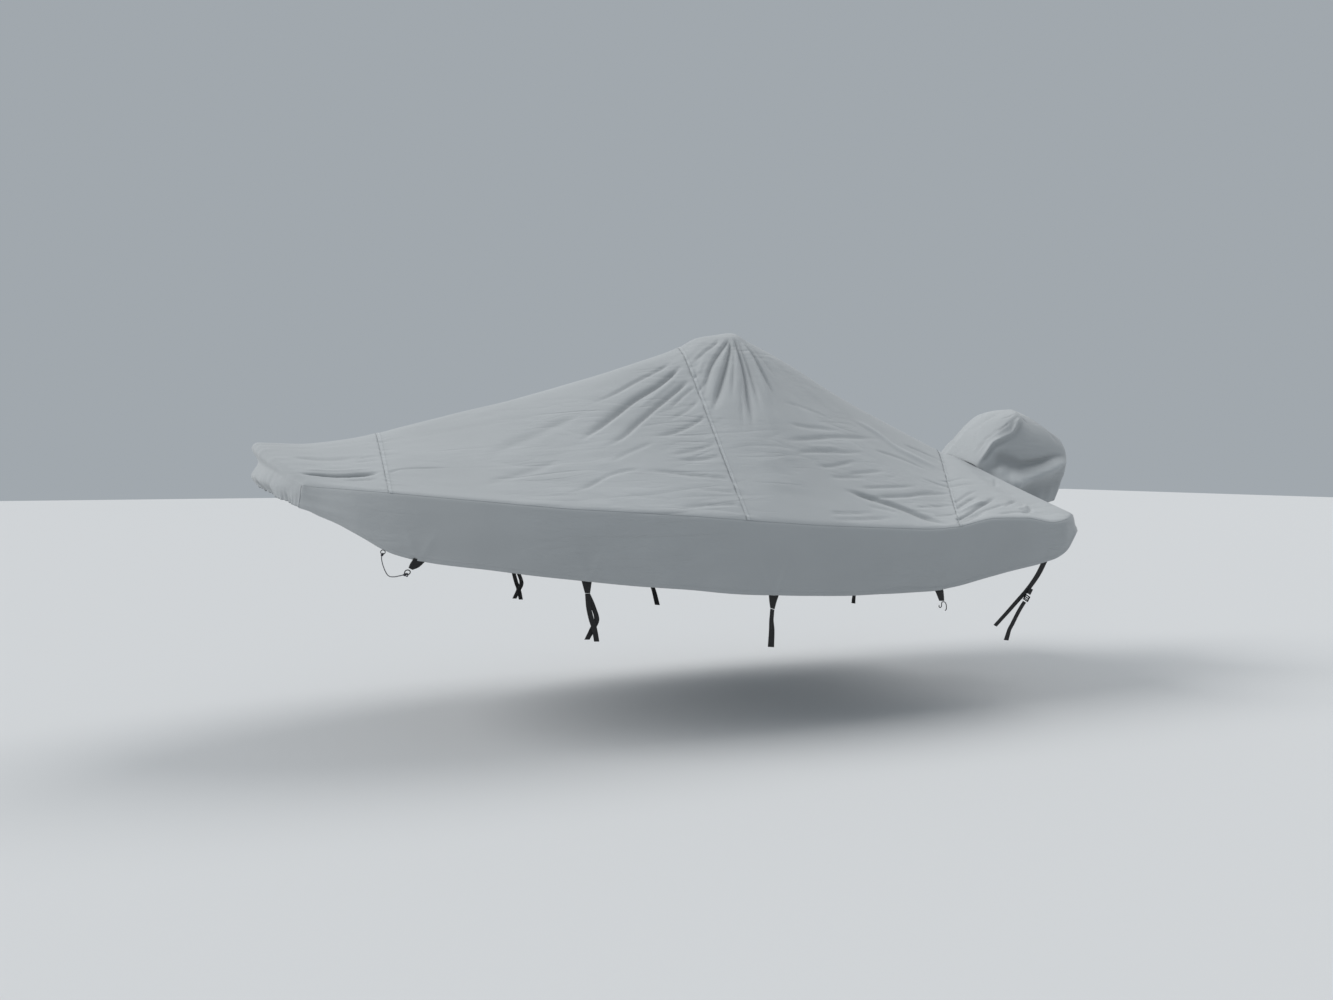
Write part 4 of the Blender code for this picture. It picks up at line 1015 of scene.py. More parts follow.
@dataclass
class SeamWork:
    """Gathers the lines that are sewn, and lays stitches along them all at once."""

    name: str
    nodes: tuple[str, ...] = ()
    pitch: float = 0.0085
    stitch: float = 0.0062
    thickness: float = 0.0011
    lines: list[Array] = field(default_factory=list)

    def tree(self, finish: bpy.types.Material) -> bpy.types.NodeTree:
        """Builds the nodes that set one stitch after another along every line.

        Args:
            finish: The thread's material.

        Returns:
            The geometry tree, with its sizes as named inputs.
        """
        tree = bpy.data.node_groups.new(f"{self.name}_along_lines", "GeometryNodeTree")
        tree.interface.new_socket("Geometry", in_out="INPUT", socket_type="NodeSocketGeometry")
        for key, value in (("Pitch", self.pitch), ("Stitch", self.stitch), ("Thickness", self.thickness)):
            socket = tree.interface.new_socket(key, in_out="INPUT", socket_type="NodeSocketFloat")
            socket.default_value = value
        tree.interface.new_socket("Geometry", in_out="OUTPUT", socket_type="NodeSocketGeometry")
        add = Nodes(tree)
        given = tree.nodes.new("NodeGroupInput").outputs
        out = tree.nodes.new("NodeGroupOutput").inputs
        spaced = add.add("GeometryNodeResampleCurve", {"Curve": given["Geometry"], "Length": given["Pitch"]},
                         mode="LENGTH")
        tangent = add.add("GeometryNodeInputTangent")
        turned = add.add("FunctionNodeAlignRotationToVector", {"Vector": tangent.outputs[0]}, axis="Z")
        bead = add.add("GeometryNodeMeshUVSphere", {"Segments": 4, "Rings": 3, "Radius": 0.5})
        size = add.add("ShaderNodeCombineXYZ", {
            0: given["Thickness"], 1: given["Thickness"], 2: given["Stitch"],
        })
        placed = add.add("GeometryNodeInstanceOnPoints", {
            "Points": spaced.outputs[0], "Instance": bead.outputs[0], "Rotation": turned.outputs[0],
            "Scale": size.outputs[0],
        })
        real = add.add("GeometryNodeRealizeInstances", {0: placed.outputs[0]})
        painted = add.add("GeometryNodeSetMaterial", {"Geometry": real.outputs[0], "Material": finish})
        tree.links.new(painted.outputs[0], out[0])
        return tree

    def build(self, finish: bpy.types.Material, slot: Slot) -> bpy.types.Object:
        """Lays the stitches and returns them as one plain mesh piece."""
        curve = bpy.data.curves.new(f"{self.name}_lines", "CURVE")
        curve.dimensions = "3D"
        for line in self.lines:
            spline = curve.splines.new("POLY")
            spline.points.add(len(line) - 1)
            ones = np.ones((len(line), 1))
            spline.points.foreach_set("co", np.hstack([line - PEAK, ones]).astype(np.float32).ravel())
        guide = bpy.data.objects.new(f"{self.name}_lines", curve)
        bpy.context.scene.collection.objects.link(guide)
        sewing = guide.modifiers.new("sewing", "NODES")
        tree = self.tree(finish)
        sewing.node_group = tree
        for item in tree.interface.items_tree:
            if item.in_out == "INPUT" and item.name in ("Pitch", "Stitch", "Thickness"):
                sewing[item.identifier] = {"Pitch": self.pitch, "Stitch": self.stitch,
                                           "Thickness": self.thickness}[item.name]
        bpy.context.view_layer.update()
        graph = bpy.context.evaluated_depsgraph_get()
        mesh = bpy.data.meshes.new_from_object(guide.evaluated_get(graph), depsgraph=graph)
        bpy.data.objects.remove(guide)
        mesh.name = self.name
        mesh.shade_smooth()
        return dress(new_piece(self.name, mesh), finish, slot)


# ----------------------------------------------------------------------------
# The cover's panels
# ----------------------------------------------------------------------------


@dataclass(frozen=True)
class DeckPanel:
    """One cross panel of the deck between two stations, with the rectangle and the area it was cut to."""

    node: str
    start: float
    end: float
    flat: tuple[float, float]
    area: float
    columns: int


@dataclass
class Deck:
    """The four cross panels of the deck, lapped and sewn at their seams."""

    shape: CoverShape
    seams: SeamWork
    cloth: float = 0.0012
    step: float = 0.0118
    band: float = 0.015
    band_lift: float = 0.0026
    # Painted highlight on the seam bands and painted shade in the grooves beside them.
    band_light: float = 1.4
    seam_dark: float = 0.3
    tuck: float = 0.0016
    tongue: float = 0.010
    pucker: float = 0.0042
    pucker_reach: float = 0.070
    edge_turn: float = 0.007
    panels: tuple[DeckPanel, ...] = (
        DeckPanel("bow_panel", BOW_HEM_U, BOW_SEAM_U, (1.10, 1.55), 1.05, 70),
        DeckPanel("fore_deck", BOW_SEAM_U, MID_SEAM_U, (2.12, 3.20), 5.15, 118),
        DeckPanel("aft_deck", MID_SEAM_U, AFT_SEAM_U, (2.55, 3.40), 5.90, 116),
        DeckPanel("stern_deck", AFT_SEAM_U, STERN_U, (1.35, 2.55), 1.35, 100),
    )

    def rows(self, panel: DeckPanel) -> Array:
        """Returns a panel's stations: close together at its seams, even between them."""
        fine = np.array([
            0.0, 0.0015, 0.003, 0.0045, 0.006, 0.008, 0.010, 0.013, 0.016, 0.020, 0.025, 0.031,
        ])
        low = panel.start + (fine if panel.start != BOW_HEM_U else fine[:1])
        rate = 0.5 if panel.start == AFT_SEAM_U else 1.0
        high = panel.end - fine[:9][::-1]
        tongue = [] if panel.end == STERN_U else panel.end + np.array([0.4, 1.0]) * self.tongue
        count = round((high[0] - low[-1]) / (self.step * rate))
        return np.concatenate([low, np.linspace(low[-1], high[0], count + 1)[1:-1], high, tongue])

    def columns(self, panel: DeckPanel) -> Array:
        """Returns a panel's places q across one side, from the ridge to just past the gunwale's turn."""
        turned = 1 + np.array([0.12, 0.25, 0.38, 0.5, 0.58])
        return np.concatenate([np.linspace(0, 1, panel.columns + 1), turned])

    def half(self, panel: DeckPanel, side: Side) -> tuple[Array, Array]:
        """Returns one side's points, on the +Y side, and its painted shade: fold depths with the seams'
        painted highlight and painted shade.
        """
        u, q = np.meshgrid(self.rows(panel), self.columns(panel), indexing="ij")
        smooth, normal = self.shape.smooth(u, q), self.shape.normal(u, q)
        depth = self.shape.depth(side, u, q)
        first = np.linalg.norm(smooth - smooth[:1], axis=-1)
        seam_row = int(np.argmin(np.abs(u[:, 0] - panel.end)))
        last = np.linalg.norm(smooth - smooth[seam_row : seam_row + 1], axis=-1)
        place = q * DECK_GIRTH * side.value
        # Fold depth becomes painted shade in the troughs and painted highlight on the ridges.
        lift, shade = np.zeros_like(depth), depth / 0.02
        if panel.start != BOW_HEM_U:
            # The seam band is painted lighter, a painted highlight, and the groove beside it darker, a
            # painted shade.
            shade = shade - self.band_light * (1 - ease((first - self.band) / 0.003))
            shade += self.seam_dark * np.exp(-(((first - self.band - 0.006) / 0.005) ** 2))
            lift += self.band_lift * (1 - ease((first - self.band) / 0.005))
            for line in (0.0045, self.band - 0.0045):
                lift -= 0.0008 * np.exp(-(((first - line) / 0.0022) ** 2))
            gate = 0.4 + 0.6 * noise(place / 0.3, place * 0 + 2, 21) ** 2
            lift += gate * self.pucker * noise(place / 0.021, first / 0.10, 22) * np.exp(
                -((first / self.pucker_reach) ** 2))
        else:
            lift += self.band_lift * (1 - ease((first - self.band) / 0.003))
            # Painted shade in the groove above the bow hem's band.
            shade += self.seam_dark * np.exp(-(((first - self.band - 0.005) / 0.005) ** 2))
        if panel.end != STERN_U:
            past = u > panel.end + 1e-9
            # Painted shade where the cloth tucks under the next panel's band.
            shade = shade + self.seam_dark * np.exp(-(((last - 0.004) / 0.006) ** 2))
            lift -= self.tuck * np.where(past, 1.0, 1 - ease(last / 0.010))
            gate = 0.4 + 0.6 * noise(place / 0.3, place * 0 + 5, 23) ** 2
            lift += gate * self.pucker * noise(place / 0.021 + 9, last / 0.10, 24) * np.exp(
                -((last / self.pucker_reach) ** 2)) * np.where(past, 0.0, 1.0)
        points = smooth - normal * (depth - lift)[..., None]
        return points, np.clip(shade, -1.8, 1.4)

    def build(self, finishes: Finishes) -> list[bpy.types.Object]:
        """Makes the four panels and marks their seam lines."""
        made = []
        for panel in self.panels:
            port, port_fold = self.half(panel, Side.PORT)
            starboard, starboard_fold = self.half(panel, Side.STARBOARD)
            port = port * (1, -1, 1)
            points = np.concatenate([port[:, :0:-1], starboard], axis=1)
            points[:, port.shape[1] - 1] = (port[:, 0] + starboard[:, 0]) / 2
            fold = np.concatenate([port_fold[:, :0:-1], starboard_fold], axis=1)
            if panel.end == STERN_U:
                points, fold = self.turn_edge(points), np.vstack([fold, fold[-1:].repeat(4, axis=0)])
            across = cumulative(points, 1)
            along = cumulative(points, 0)
            uv = np.stack([along, across], -1)
            piece = new_piece(panel.node + "_cloth", grid_mesh(panel.node, points, uv, fold))
            thicken(piece, self.cloth)
            if panel.start != BOW_HEM_U:
                apart = np.linalg.norm(points - points[:1], axis=-1)
                for line in (0.0045, self.band - 0.0045):
                    self.seams.lines.append(at_distance(points, apart, line) + np.array((0, 0, 0.0004)))
            dress(piece, finishes.cloth, Slot.CLOTH, panel.node)
            made.append(piece)
        return made

    def turn_edge(self, points: Array) -> Array:
        """Returns the stern panel with its aft edge turned down over the transom and the hood."""
        rows = [points]
        for angle in np.radians((25, 50, 75, 90)):
            shift = np.array((math.sin(angle), 0, math.cos(angle) - 1)) * self.edge_turn
            rows.append(points[-1:] + shift)
        return np.concatenate(rows)


@dataclass
class SidePanels:
    """The strips below the gunwale, with their turned hems."""

    shape: CoverShape
    seams: SeamWork
    cloth: float = 0.0012
    step: float = 0.0125
    rows_down: int = 32
    start_gap: float = 0.002
    hem: float = 0.028
    hem_lift: float = 0.0014
    wave: float = 0.0045
    tab_places: tuple[float, ...] = (0.855, 1.747, 2.87, 4.058, 4.94)
    tab_reach: float = 0.05
    pleat_slopes: tuple[float, float] = (-0.16, 0.17)
    pleat_width: float = 0.016
    pleat_height: float = 0.0022
    flat: tuple[float, float] = (5.45, 0.46)
    area: float = 2.02

    def build_side(self, side: Side, finishes: Finishes) -> bpy.types.Object:
        """Makes one side panel."""
        count = round((STERN_U - self.start_gap) / self.step)
        rows = np.linspace(self.start_gap, STERN_U, count + 1)
        turn = 1 + np.array([0.46, 0.55, 0.66, 0.78, 0.9])
        hem = 2 + np.array([0.90, 0.915, 0.925, 0.935, 0.95, 0.97, 0.985, 1.0])
        down = np.concatenate([np.linspace(2, 2.88, self.rows_down), hem])
        u, q = np.meshgrid(rows, np.concatenate([turn, down]), indexing="ij")
        smooth, normal = self.shape.smooth(u, q), self.shape.normal(u, q)
        w = np.clip(q - 2, 0, 1)
        x = smooth[..., 0]
        depth = self.shape.depth(side, u, q) * (1 - ease(w / 0.5))
        far = 50.0 * (side is Side.STARBOARD)
        depth += self.wave * ease(w / 0.4) * noise(x / 0.42 + far, w * 1.3 + 4, 31)
        depth += 0.0016 * ease(w / 0.3) * noise(x / 0.11 + far, w * 2.2 + 8, 32)
        depth += 0.0022 * ease(w / 0.2) * noise((x + 0.5 * w) / 0.23 + far, w * 4 + 3, 33)
        for place in self.tab_places:
            near = (x - place) / self.tab_reach
            depth *= 1 - 0.9 * np.exp(-(near**2)) * ease((w - 0.6) / 0.3)
            depth += 0.0035 * np.exp(-(near**2)) * ease((w - 0.45) / 0.5)
            for slope in self.pleat_slopes:
                off = (x - place - slope * (1 - w)) / self.pleat_width
                depth -= self.pleat_height * np.exp(-(off**2)) * ease((w - 0.35) / 0.4)
        depth *= 0.15 + 0.85 * ease(u / 0.06)
        low = np.linalg.norm(smooth - smooth[:, -1:], axis=-1)
        height = np.linalg.norm(smooth[:, :1] - smooth[:, -1:], axis=-1)
        wide = np.minimum(self.hem, 0.25 * height)
        lift = self.hem_lift * (1 - ease((low - wide) / 0.003)) - 0.0022 * (1 - ease((q - 1.5) / 0.12))
        lift -= 0.0007 * np.exp(-(((low - wide + 0.004) / 0.002) ** 2))
        points = smooth - normal * (depth - lift)[..., None]
        scallop = 0.004 * noise(x / 0.33 + far, x * 0 + 6, 34) * ease((w - 0.6) / 0.4)
        points[..., 2] += scallop * ease((u - 0.1) / 0.2) * ease((STERN_U - u) / 0.3)
        points *= (1, side.value, 1)
        # Fold depth becomes painted shade in the troughs and painted highlight on the ridges.
        fold = np.clip(depth / 0.02, -1, 1)
        uv = np.stack([cumulative(points, 0), cumulative(points, 1)], -1)
        node = f"side_{side.label}"
        order = slice(None) if side is Side.STARBOARD else slice(None, None, -1)
        mesh = grid_mesh(node, points[:, order], uv[:, order], fold[:, order])
        piece = new_piece(node + "_cloth", mesh)
        thicken(piece, self.cloth)
        self.seams.lines.append(self.hem_line(points, wide))
        dress(piece, finishes.cloth, Slot.CLOTH, node)
        return piece

    @staticmethod
    def hem_line(points: Array, wide: Array) -> Array:
        """Returns the line of the hem's stitches, a little below its upper edge."""
        line = []
        for row, width in zip(points, wide[:, 0]):
            apart = np.linalg.norm(row - row[-1], axis=-1)[::-1]
            line.append([np.interp(width - 0.004, apart, row[::-1, axis]) for axis in range(3)])
        out = np.array(line)
        out[:, 1] += np.sign(out[:, 1]) * 0.0004
        return out

    def build(self, finishes: Finishes) -> list[bpy.types.Object]:
        """Makes both side panels."""
        return [self.build_side(side, finishes) for side in Side]


@dataclass(frozen=True)
class TransomHem:
    """A place on a transom panel's hem, from the hood out to the corner."""

    share: float
    x: float
    y: float
    z: float


@dataclass
class TransomPanels:
    """The panels that close the stern on each side of the hood."""

    shape: CoverShape
    seams: SeamWork
    cloth: float = 0.0012
    inner_y: float = 0.288
    tuck: float = 0.032
    belly: float = 0.015
    lap: float = 0.003
    hem: tuple[TransomHem, ...] = (
        TransomHem(0.0, 5.238, 0.288, 1.332),
        TransomHem(0.4, 5.262, 0.560, 1.232),
        TransomHem(0.8, 5.266, 0.860, 1.182),
        TransomHem(1.0, 5.240, 1.006, 1.170),
    )
    flat: tuple[float, float] = (0.80, 0.52)
    area: float = 0.215

    def build(self, finishes: Finishes) -> list[bpy.types.Object]:
        """Makes both transom panels."""
        made = []
        table = SmoothTable(self.hem)
        a, b = np.meshgrid(np.linspace(0, 1, 64), np.linspace(0, 1, 34), indexing="ij")
        for side in Side:
            y = self.inner_y + (self.hem[-1].y - self.inner_y) * a
            edge = np.full_like(y, STERN_U)
            rim_y = self.shape.table.read("rim_y", edge)
            top = self.shape.deck(edge, y / rim_y) + np.array((self.lap, 0, -self.lap))
            points = top + (table.point("x y z", a) - top) * b[..., None]
            points[..., 0] += self.belly * arch(b) * np.sin(math.pi * a)
            points[..., 1] -= self.tuck * (1 - a) ** 6 * ease(b / 0.2)
            points = self.shape.rounded(np.full_like(y, STERN_U), points)
            seed = 40 + side.value
            ease_in = ease(b / 0.25)
            points[..., 0] += 0.006 * noise(y / 0.14 + 5, b * 1.5, seed) * ease_in
            points[..., 0] += 0.002 * noise(y / 0.045 + 5, b * 2.5, seed + 5) * ease_in
            low = np.linalg.norm(points - points[:, -1:], axis=-1)
            points[..., 0] += 0.0014 * (1 - ease((low - 0.025) / 0.003))
            points *= (1, side.value, 1)
            uv = np.stack([cumulative(points, 0), cumulative(points, 1)], -1)
            order = slice(None) if side is Side.PORT else slice(None, None, -1)
            node = f"transom_{side.label}"
            piece = new_piece(node + "_cloth", grid_mesh(node, points[:, order], uv[:, order]))
            thicken(piece, self.cloth)
            self.seams.lines.append(SidePanels.hem_line(points, np.full((len(points), 1), 0.025)))
            dress(piece, finishes.cloth, Slot.CLOTH, node)
            made.append(piece)
        return made


# ----------------------------------------------------------------------------
# The motor hood
# ----------------------------------------------------------------------------


@dataclass(frozen=True)
class HoodRib:
    """A line from the hood's base over its shoulder to its top, at one place round one half of it."""

    u: float
    base_x: float
    base_y: float
    base_z: float
    shoulder_x: float
    shoulder_y: float
    shoulder_z: float
    firm: float


HOOD_GIRTH = 0.95
# x is the distance round the hood from its front centre and t the share of the way up to its top.
HOOD_CREASES = [
    Crease(((0.56, 0.000), (0.66, 0.012), (0.76, 0.034), (0.86, 0.056), (1.00, 0.090)),
           0.050, 0.048, -0.058, 0.45, 0.2, 0.16, 0.45),
    Crease(((0.60, 0.020), (0.77, 0.050), (0.924, 0.081), (1.00, 0.112), (1.127, 0.160),
            (1.24, 0.240), (1.38, 0.290)),
           0.040, 0.070, -0.050, 0.30, 0.3, 0.35, 0.36),
    Crease(((0.50, 0.070), (0.666, 0.130), (0.85, 0.175), (1.034, 0.225), (1.20, 0.320), (1.30, 0.370)),
           0.044, 0.046, 0.042, -0.50, 0.5, 0.12, 0.40),
    Crease(((0.80, 0.000), (1.00, 0.035), (1.20, 0.075), (1.45, 0.11)), 0.034, 0.050, 0.020, 0.0, 0.2, 0.3),
    Crease(((0.46, 0.01), (0.47, 0.10), (0.53, 0.20), (0.60, 0.33), (0.64, 0.50), (0.70, 0.66)),
           0.026, 0.034, 0.012, 0.0, 0.2, 0.05, 0.3),
    Crease(((0.40, 0.01), (0.425, 0.05), (0.412, 0.113), (0.49, 0.188), (0.565, 0.312),
            (0.556, 0.50), (0.62, 0.72)),
           0.020, 0.024, -0.020, 0.0, 0.6, 0.03, 0.3),
    Crease(((0.325, 0.02), (0.319, 0.075), (0.308, 0.15), (0.341, 0.19), (0.363, 0.30)),
           0.010, 0.012, 0.010, 0.0, 0.5, 0.05, 0.3),
    Crease(((0.36, 0.20), (0.43, 0.32), (0.47, 0.46)), 0.012, 0.016, 0.008, 0.0, 0.4),
    Crease(((0.30, 0.45), (0.40, 0.56), (0.46, 0.70)), 0.020, 0.028, 0.006, 0.0, 0.2),
    Crease(((0.52, 0.02), (0.58, 0.05), (0.66, 0.10)), 0.010, 0.012, 0.009, 0.0, 0.4, 0.1, 0.3),
    Crease(((0.58, 0.01), (0.68, 0.045), (0.76, 0.085)), 0.010, 0.014, 0.009, 0.0, 0.4, 0.1, 0.3),
    Crease(((0.66, 0.01), (0.76, 0.04), (0.86, 0.07)), 0.010, 0.014, 0.008, 0.0, 0.4, 0.1, 0.3),
    Crease(((0.78, 0.02), (0.86, 0.05), (0.93, 0.10)), 0.012, 0.014, 0.007, 0.0, 0.4, 0.1, 0.3),
    Crease(((0.56, 0.86), (0.70, 0.72), (0.86, 0.62)), 0.022, 0.040, 0.010, 0.3, 0.3),
    Crease(((1.02, 0.88), (1.14, 0.72), (1.20, 0.55), (1.22, 0.42)), 0.022, 0.036, 0.010, 0.0, 0.3),
    Crease(((1.34, 0.85), (1.42, 0.62), (1.40, 0.40)), 0.022, 0.036, 0.009, 0.0, 0.3),
    Crease(((0.05, 0.20), (0.12, 0.50), (0.16, 0.80)), 0.040, 0.050, 0.007),
]


@dataclass
class MotorHood:
    """The bag over the outboard's head, open underneath."""

    shape: CoverShape
    seams: SeamWork
    cloth: float = 0.0012
    top: tuple[float, float, float] = (5.500, 0.0, 2.056)
    lap: float = 0.003
    spacing: float = 0.22
    around: int = 168
    up: int = 76
    top_share: float = 0.98
    slack: float = 0.007
    flat: tuple[float, float] = (2.10, 1.45)
    area: float = 1.80
    front_y: tuple[float, ...] = (0.000, 0.140, 0.265)
    front: tuple[tuple[float, float, float, float], ...] = (
        (5.210, 0.000, 2.050, 1.6),
        (5.240, 0.170, 2.045, 1.8),
        (5.330, 0.262, 2.030, 2.6),
    )
    ribs: tuple[HoodRib, ...] = (
        HoodRib(3, 5.110, 0.281, 1.452, 5.430, 0.285, 1.990, 2.2),
        HoodRib(4, 5.235, 0.283, 1.334, 5.560, 0.290, 1.950, 2.0),
        HoodRib(5, 5.500, 0.280, 1.326, 5.720, 0.285, 1.900, 2.0),
        HoodRib(6, 5.715, 0.240, 1.350, 5.935, 0.250, 1.800, 2.0),
        HoodRib(7, 5.800, 0.130, 1.385, 6.000, 0.140, 1.790, 2.0),
        HoodRib(8, 5.830, 0.000, 1.395, 6.020, 0.000, 1.790, 2.0),
    )

    def table(self) -> SmoothTable:
        """Returns the ribs with the bases of the front ones set on the deck's aft edge."""
        rows = []
        for number, (y, shoulder) in enumerate(zip(self.front_y, self.front)):
            edge = np.array(STERN_U)
            base = self.shape.deck(edge, np.array(y) / self.shape.table.read("rim_y", edge))
            rows.append(HoodRib(number, float(base[0]) + self.lap, y, float(base[2]), *shoulder))
        return SmoothTable([*rows, *self.ribs])

    def smooth(self, table: SmoothTable, a: Array, b: Array) -> Array:
        """Returns the smooth hood, for a of 0 at the front centre to 8 at the back one, b base to top."""
        base = table.point("base_x base_y base_z", a)
        shoulder = table.point("shoulder_x shoulder_y shoulder_z", a)
        pulls = (1 - b) ** 2, table.read("firm", a) * 2 * b * (1 - b), b * b
        total = sum(pulls)
        return (base * (pulls[0] / total)[..., None] + shoulder * (pulls[1] / total)[..., None]
                + np.array(self.top) * (pulls[2] / total)[..., None])

    def half(self, side: Side) -> tuple[Array, Array]:
        """Returns one half's points and fold depths, drawn on the +Y side, from front to back centre; the
        depths are painted shade in troughs and painted highlight on ridges.
        """
        table = self.table()
        stations, heights = np.linspace(0, 8, self.around // 2 + 1), np.linspace(0, 1, self.up + 1)
        a, b = np.meshgrid(stations, heights, indexing="ij")
        smooth = self.smooth(table, a, b)
        low, step = np.minimum(b, self.top_share), 2e-3
        ahead, behind = np.minimum(a + step, 8), np.maximum(a - step, 0)
        along = self.smooth(table, ahead, low) - self.smooth(table, behind, low)
        upward = self.smooth(table, a, low + step) - self.smooth(table, a, low - step)
        normal = np.cross(upward, along)
        normal /= np.maximum(np.linalg.norm(normal, axis=-1, keepdims=True), 1e-12)
        normal[[0, -1], :, 1] = 0.0
        creases = HOOD_CREASES
        if side is Side.STARBOARD:
            dice = random.Random(FAR_SIDE_SEED + 1)
            creases = [crease.moved(dice) for crease in HOOD_CREASES if dice.random() > 0.2]
        x = a * self.spacing
        inside = ease(a / 0.6) * ease((8 - a) / 0.6)
        depth = press_all(creases, x, b, HOOD_GIRTH) * inside
        depth += self.slack * noise(x / 0.30 + 7, b * 3.1 + side.value + 9, 51) * inside * ease((1 - b) / 0.2)
        depth += 0.0022 * noise(x / 0.09 + 3, b * 8 + side.value + 5, 52) * inside * ease((1 - b) / 0.2)
        gathers = 0.0040 * noise(x / 0.045 + side.value + 9, b * 3, 53)
        depth += gathers * (1 - ease(b / 0.16)) * ease((a - 2.5) / 1)
        depth *= np.maximum(ease(b / 0.05), ease((a - 2.4) / 0.8))
        # Ridges get up to 18% painted highlight and troughs painted shade, from the clipped fold depths.
        return smooth - normal * depth[..., None], np.clip(depth / 0.02, -1.8, 1)

    def build(self, finishes: Finishes) -> bpy.types.Object:
        """Makes the hood as one closed round."""
        port, port_fold = self.half(Side.PORT)
        starboard, starboard_fold = self.half(Side.STARBOARD)
        points = np.concatenate([port * (1, -1, 1), starboard[-2::-1]])
        fold = np.concatenate([port_fold, starboard_fold[-2::-1]])
        uv = np.stack([cumulative(points, 0), cumulative(points, 1)], -1)
        mesh = grid_mesh("motor_hood", points, uv, fold)
        piece = new_piece("motor_hood_cloth", mesh)
        weld = piece.modifiers.new("weld", "WELD")
        weld.merge_threshold = 0.00005
        thicken(piece, self.cloth)
        dress(piece, finishes.cloth, Slot.CLOTH, "motor_hood")
        return piece


# ----------------------------------------------------------------------------
# Tie-downs
# ----------------------------------------------------------------------------


@dataclass(frozen=True)
class Rung:
    """A line across a strap, with its fore and aft edge points and its half breadth."""

    u: float
    fore_x: float
    fore_z: float
    aft_x: float
    aft_z: float
    y: float


def rungs(*rows: tuple[float, ...]) -> tuple[Rung, ...]:
    """Returns numbered rungs."""
    return tuple(Rung(number, *row) for number, row in enumerate(rows))


@dataclass(frozen=True)
class Strap:
    """A strip of webbing: its node, how it is held, its rungs and how far its ends run on."""

    node: str
    held: str
    rungs: tuple[Rung, ...]
    sewn: float = 0.0
    sag: float = 0.0


STRAPS = (
    Strap("bow_tab", "hung", rungs(
        (0.822, 1.102, 0.884, 1.086, 0.722), (0.811, 1.080, 0.858, 1.060, 0.706),
        (0.804, 1.058, 0.826, 1.046, 0.694)), 0.016),
    Strap("fore_tab", "hung", rungs(
        (1.718, 0.9715, 1.776, 0.9645, 0.956), (1.729, 0.935, 1.772, 0.932, 0.953),
        (1.738, 0.905, 1.768, 0.903, 0.950)), 0.016),
    Strap("fore_strap_outer", "hung", rungs(
        (1.738, 0.902, 1.766, 0.901, 0.953), (1.743, 0.836, 1.773, 0.834, 0.952),
        (1.759, 0.761, 1.790, 0.761, 0.948), (1.779, 0.697, 1.810, 0.702, 0.944),
        (1.794, 0.626, 1.825, 0.624, 0.940)), 0.0, 0.002),
    Strap("fore_strap_inner", "hung", rungs(
        (1.742, 0.902, 1.770, 0.901, 0.945), (1.773, 0.832, 1.803, 0.830, 0.938),
        (1.797, 0.755, 1.828, 0.749, 0.932), (1.771, 0.698, 1.804, 0.691, 0.928),
        (1.742, 0.638, 1.772, 0.636, 0.924)), 0.0, 0.002),
    Strap("mid_tab", "hung", rungs(
        (2.838, 0.852, 2.902, 0.846, 1.058), (2.844, 0.813, 2.891, 0.811, 1.054),
        (2.852, 0.776, 2.880, 0.767, 1.050)), 0.016),
    Strap("mid_strap", "stretched", rungs(
        (2.852, 0.773, 2.879, 0.764, 1.050), (2.854, 0.712, 2.882, 0.710, 1.035),
        (2.867, 0.638, 2.904, 0.635, 1.005), (2.880, 0.528, 2.922, 0.523, 0.965)), 0.0, 0.001),
    Strap("rear_tab", "hung", rungs(
        (4.028, 0.817, 4.088, 0.8185, 1.050), (4.046, 0.785, 4.095, 0.783, 1.046),
        (4.062, 0.757, 4.100, 0.755, 1.042)), 0.016),
    Strap("stern_strap", "stretched", rungs(
        (4.914, 0.968, 4.966, 0.976, 1.000), (4.884, 0.905, 4.922, 0.890, 0.992),
        (4.830, 0.828, 4.862, 0.811, 0.984), (4.708, 0.701, 4.735, 0.685, 0.970),
        (4.566, 0.559, 4.592, 0.546, 0.950)), 0.016, 0.001),
    Strap("stern_branch", "stretched", rungs(
        (4.826, 0.800, 4.853, 0.787, 0.994), (4.806, 0.765, 4.832, 0.751, 0.992))),
    Strap("stern_tail", "hung", rungs(
        (4.776, 0.715, 4.802, 0.701, 0.988), (4.746, 0.673, 4.773, 0.660, 0.984),
        (4.702, 0.587, 4.731, 0.575, 0.972), (4.666, 0.513, 4.698, 0.504, 0.960),
        (4.652, 0.453, 4.690, 0.447, 0.950)), 0.0, 0.003),
)


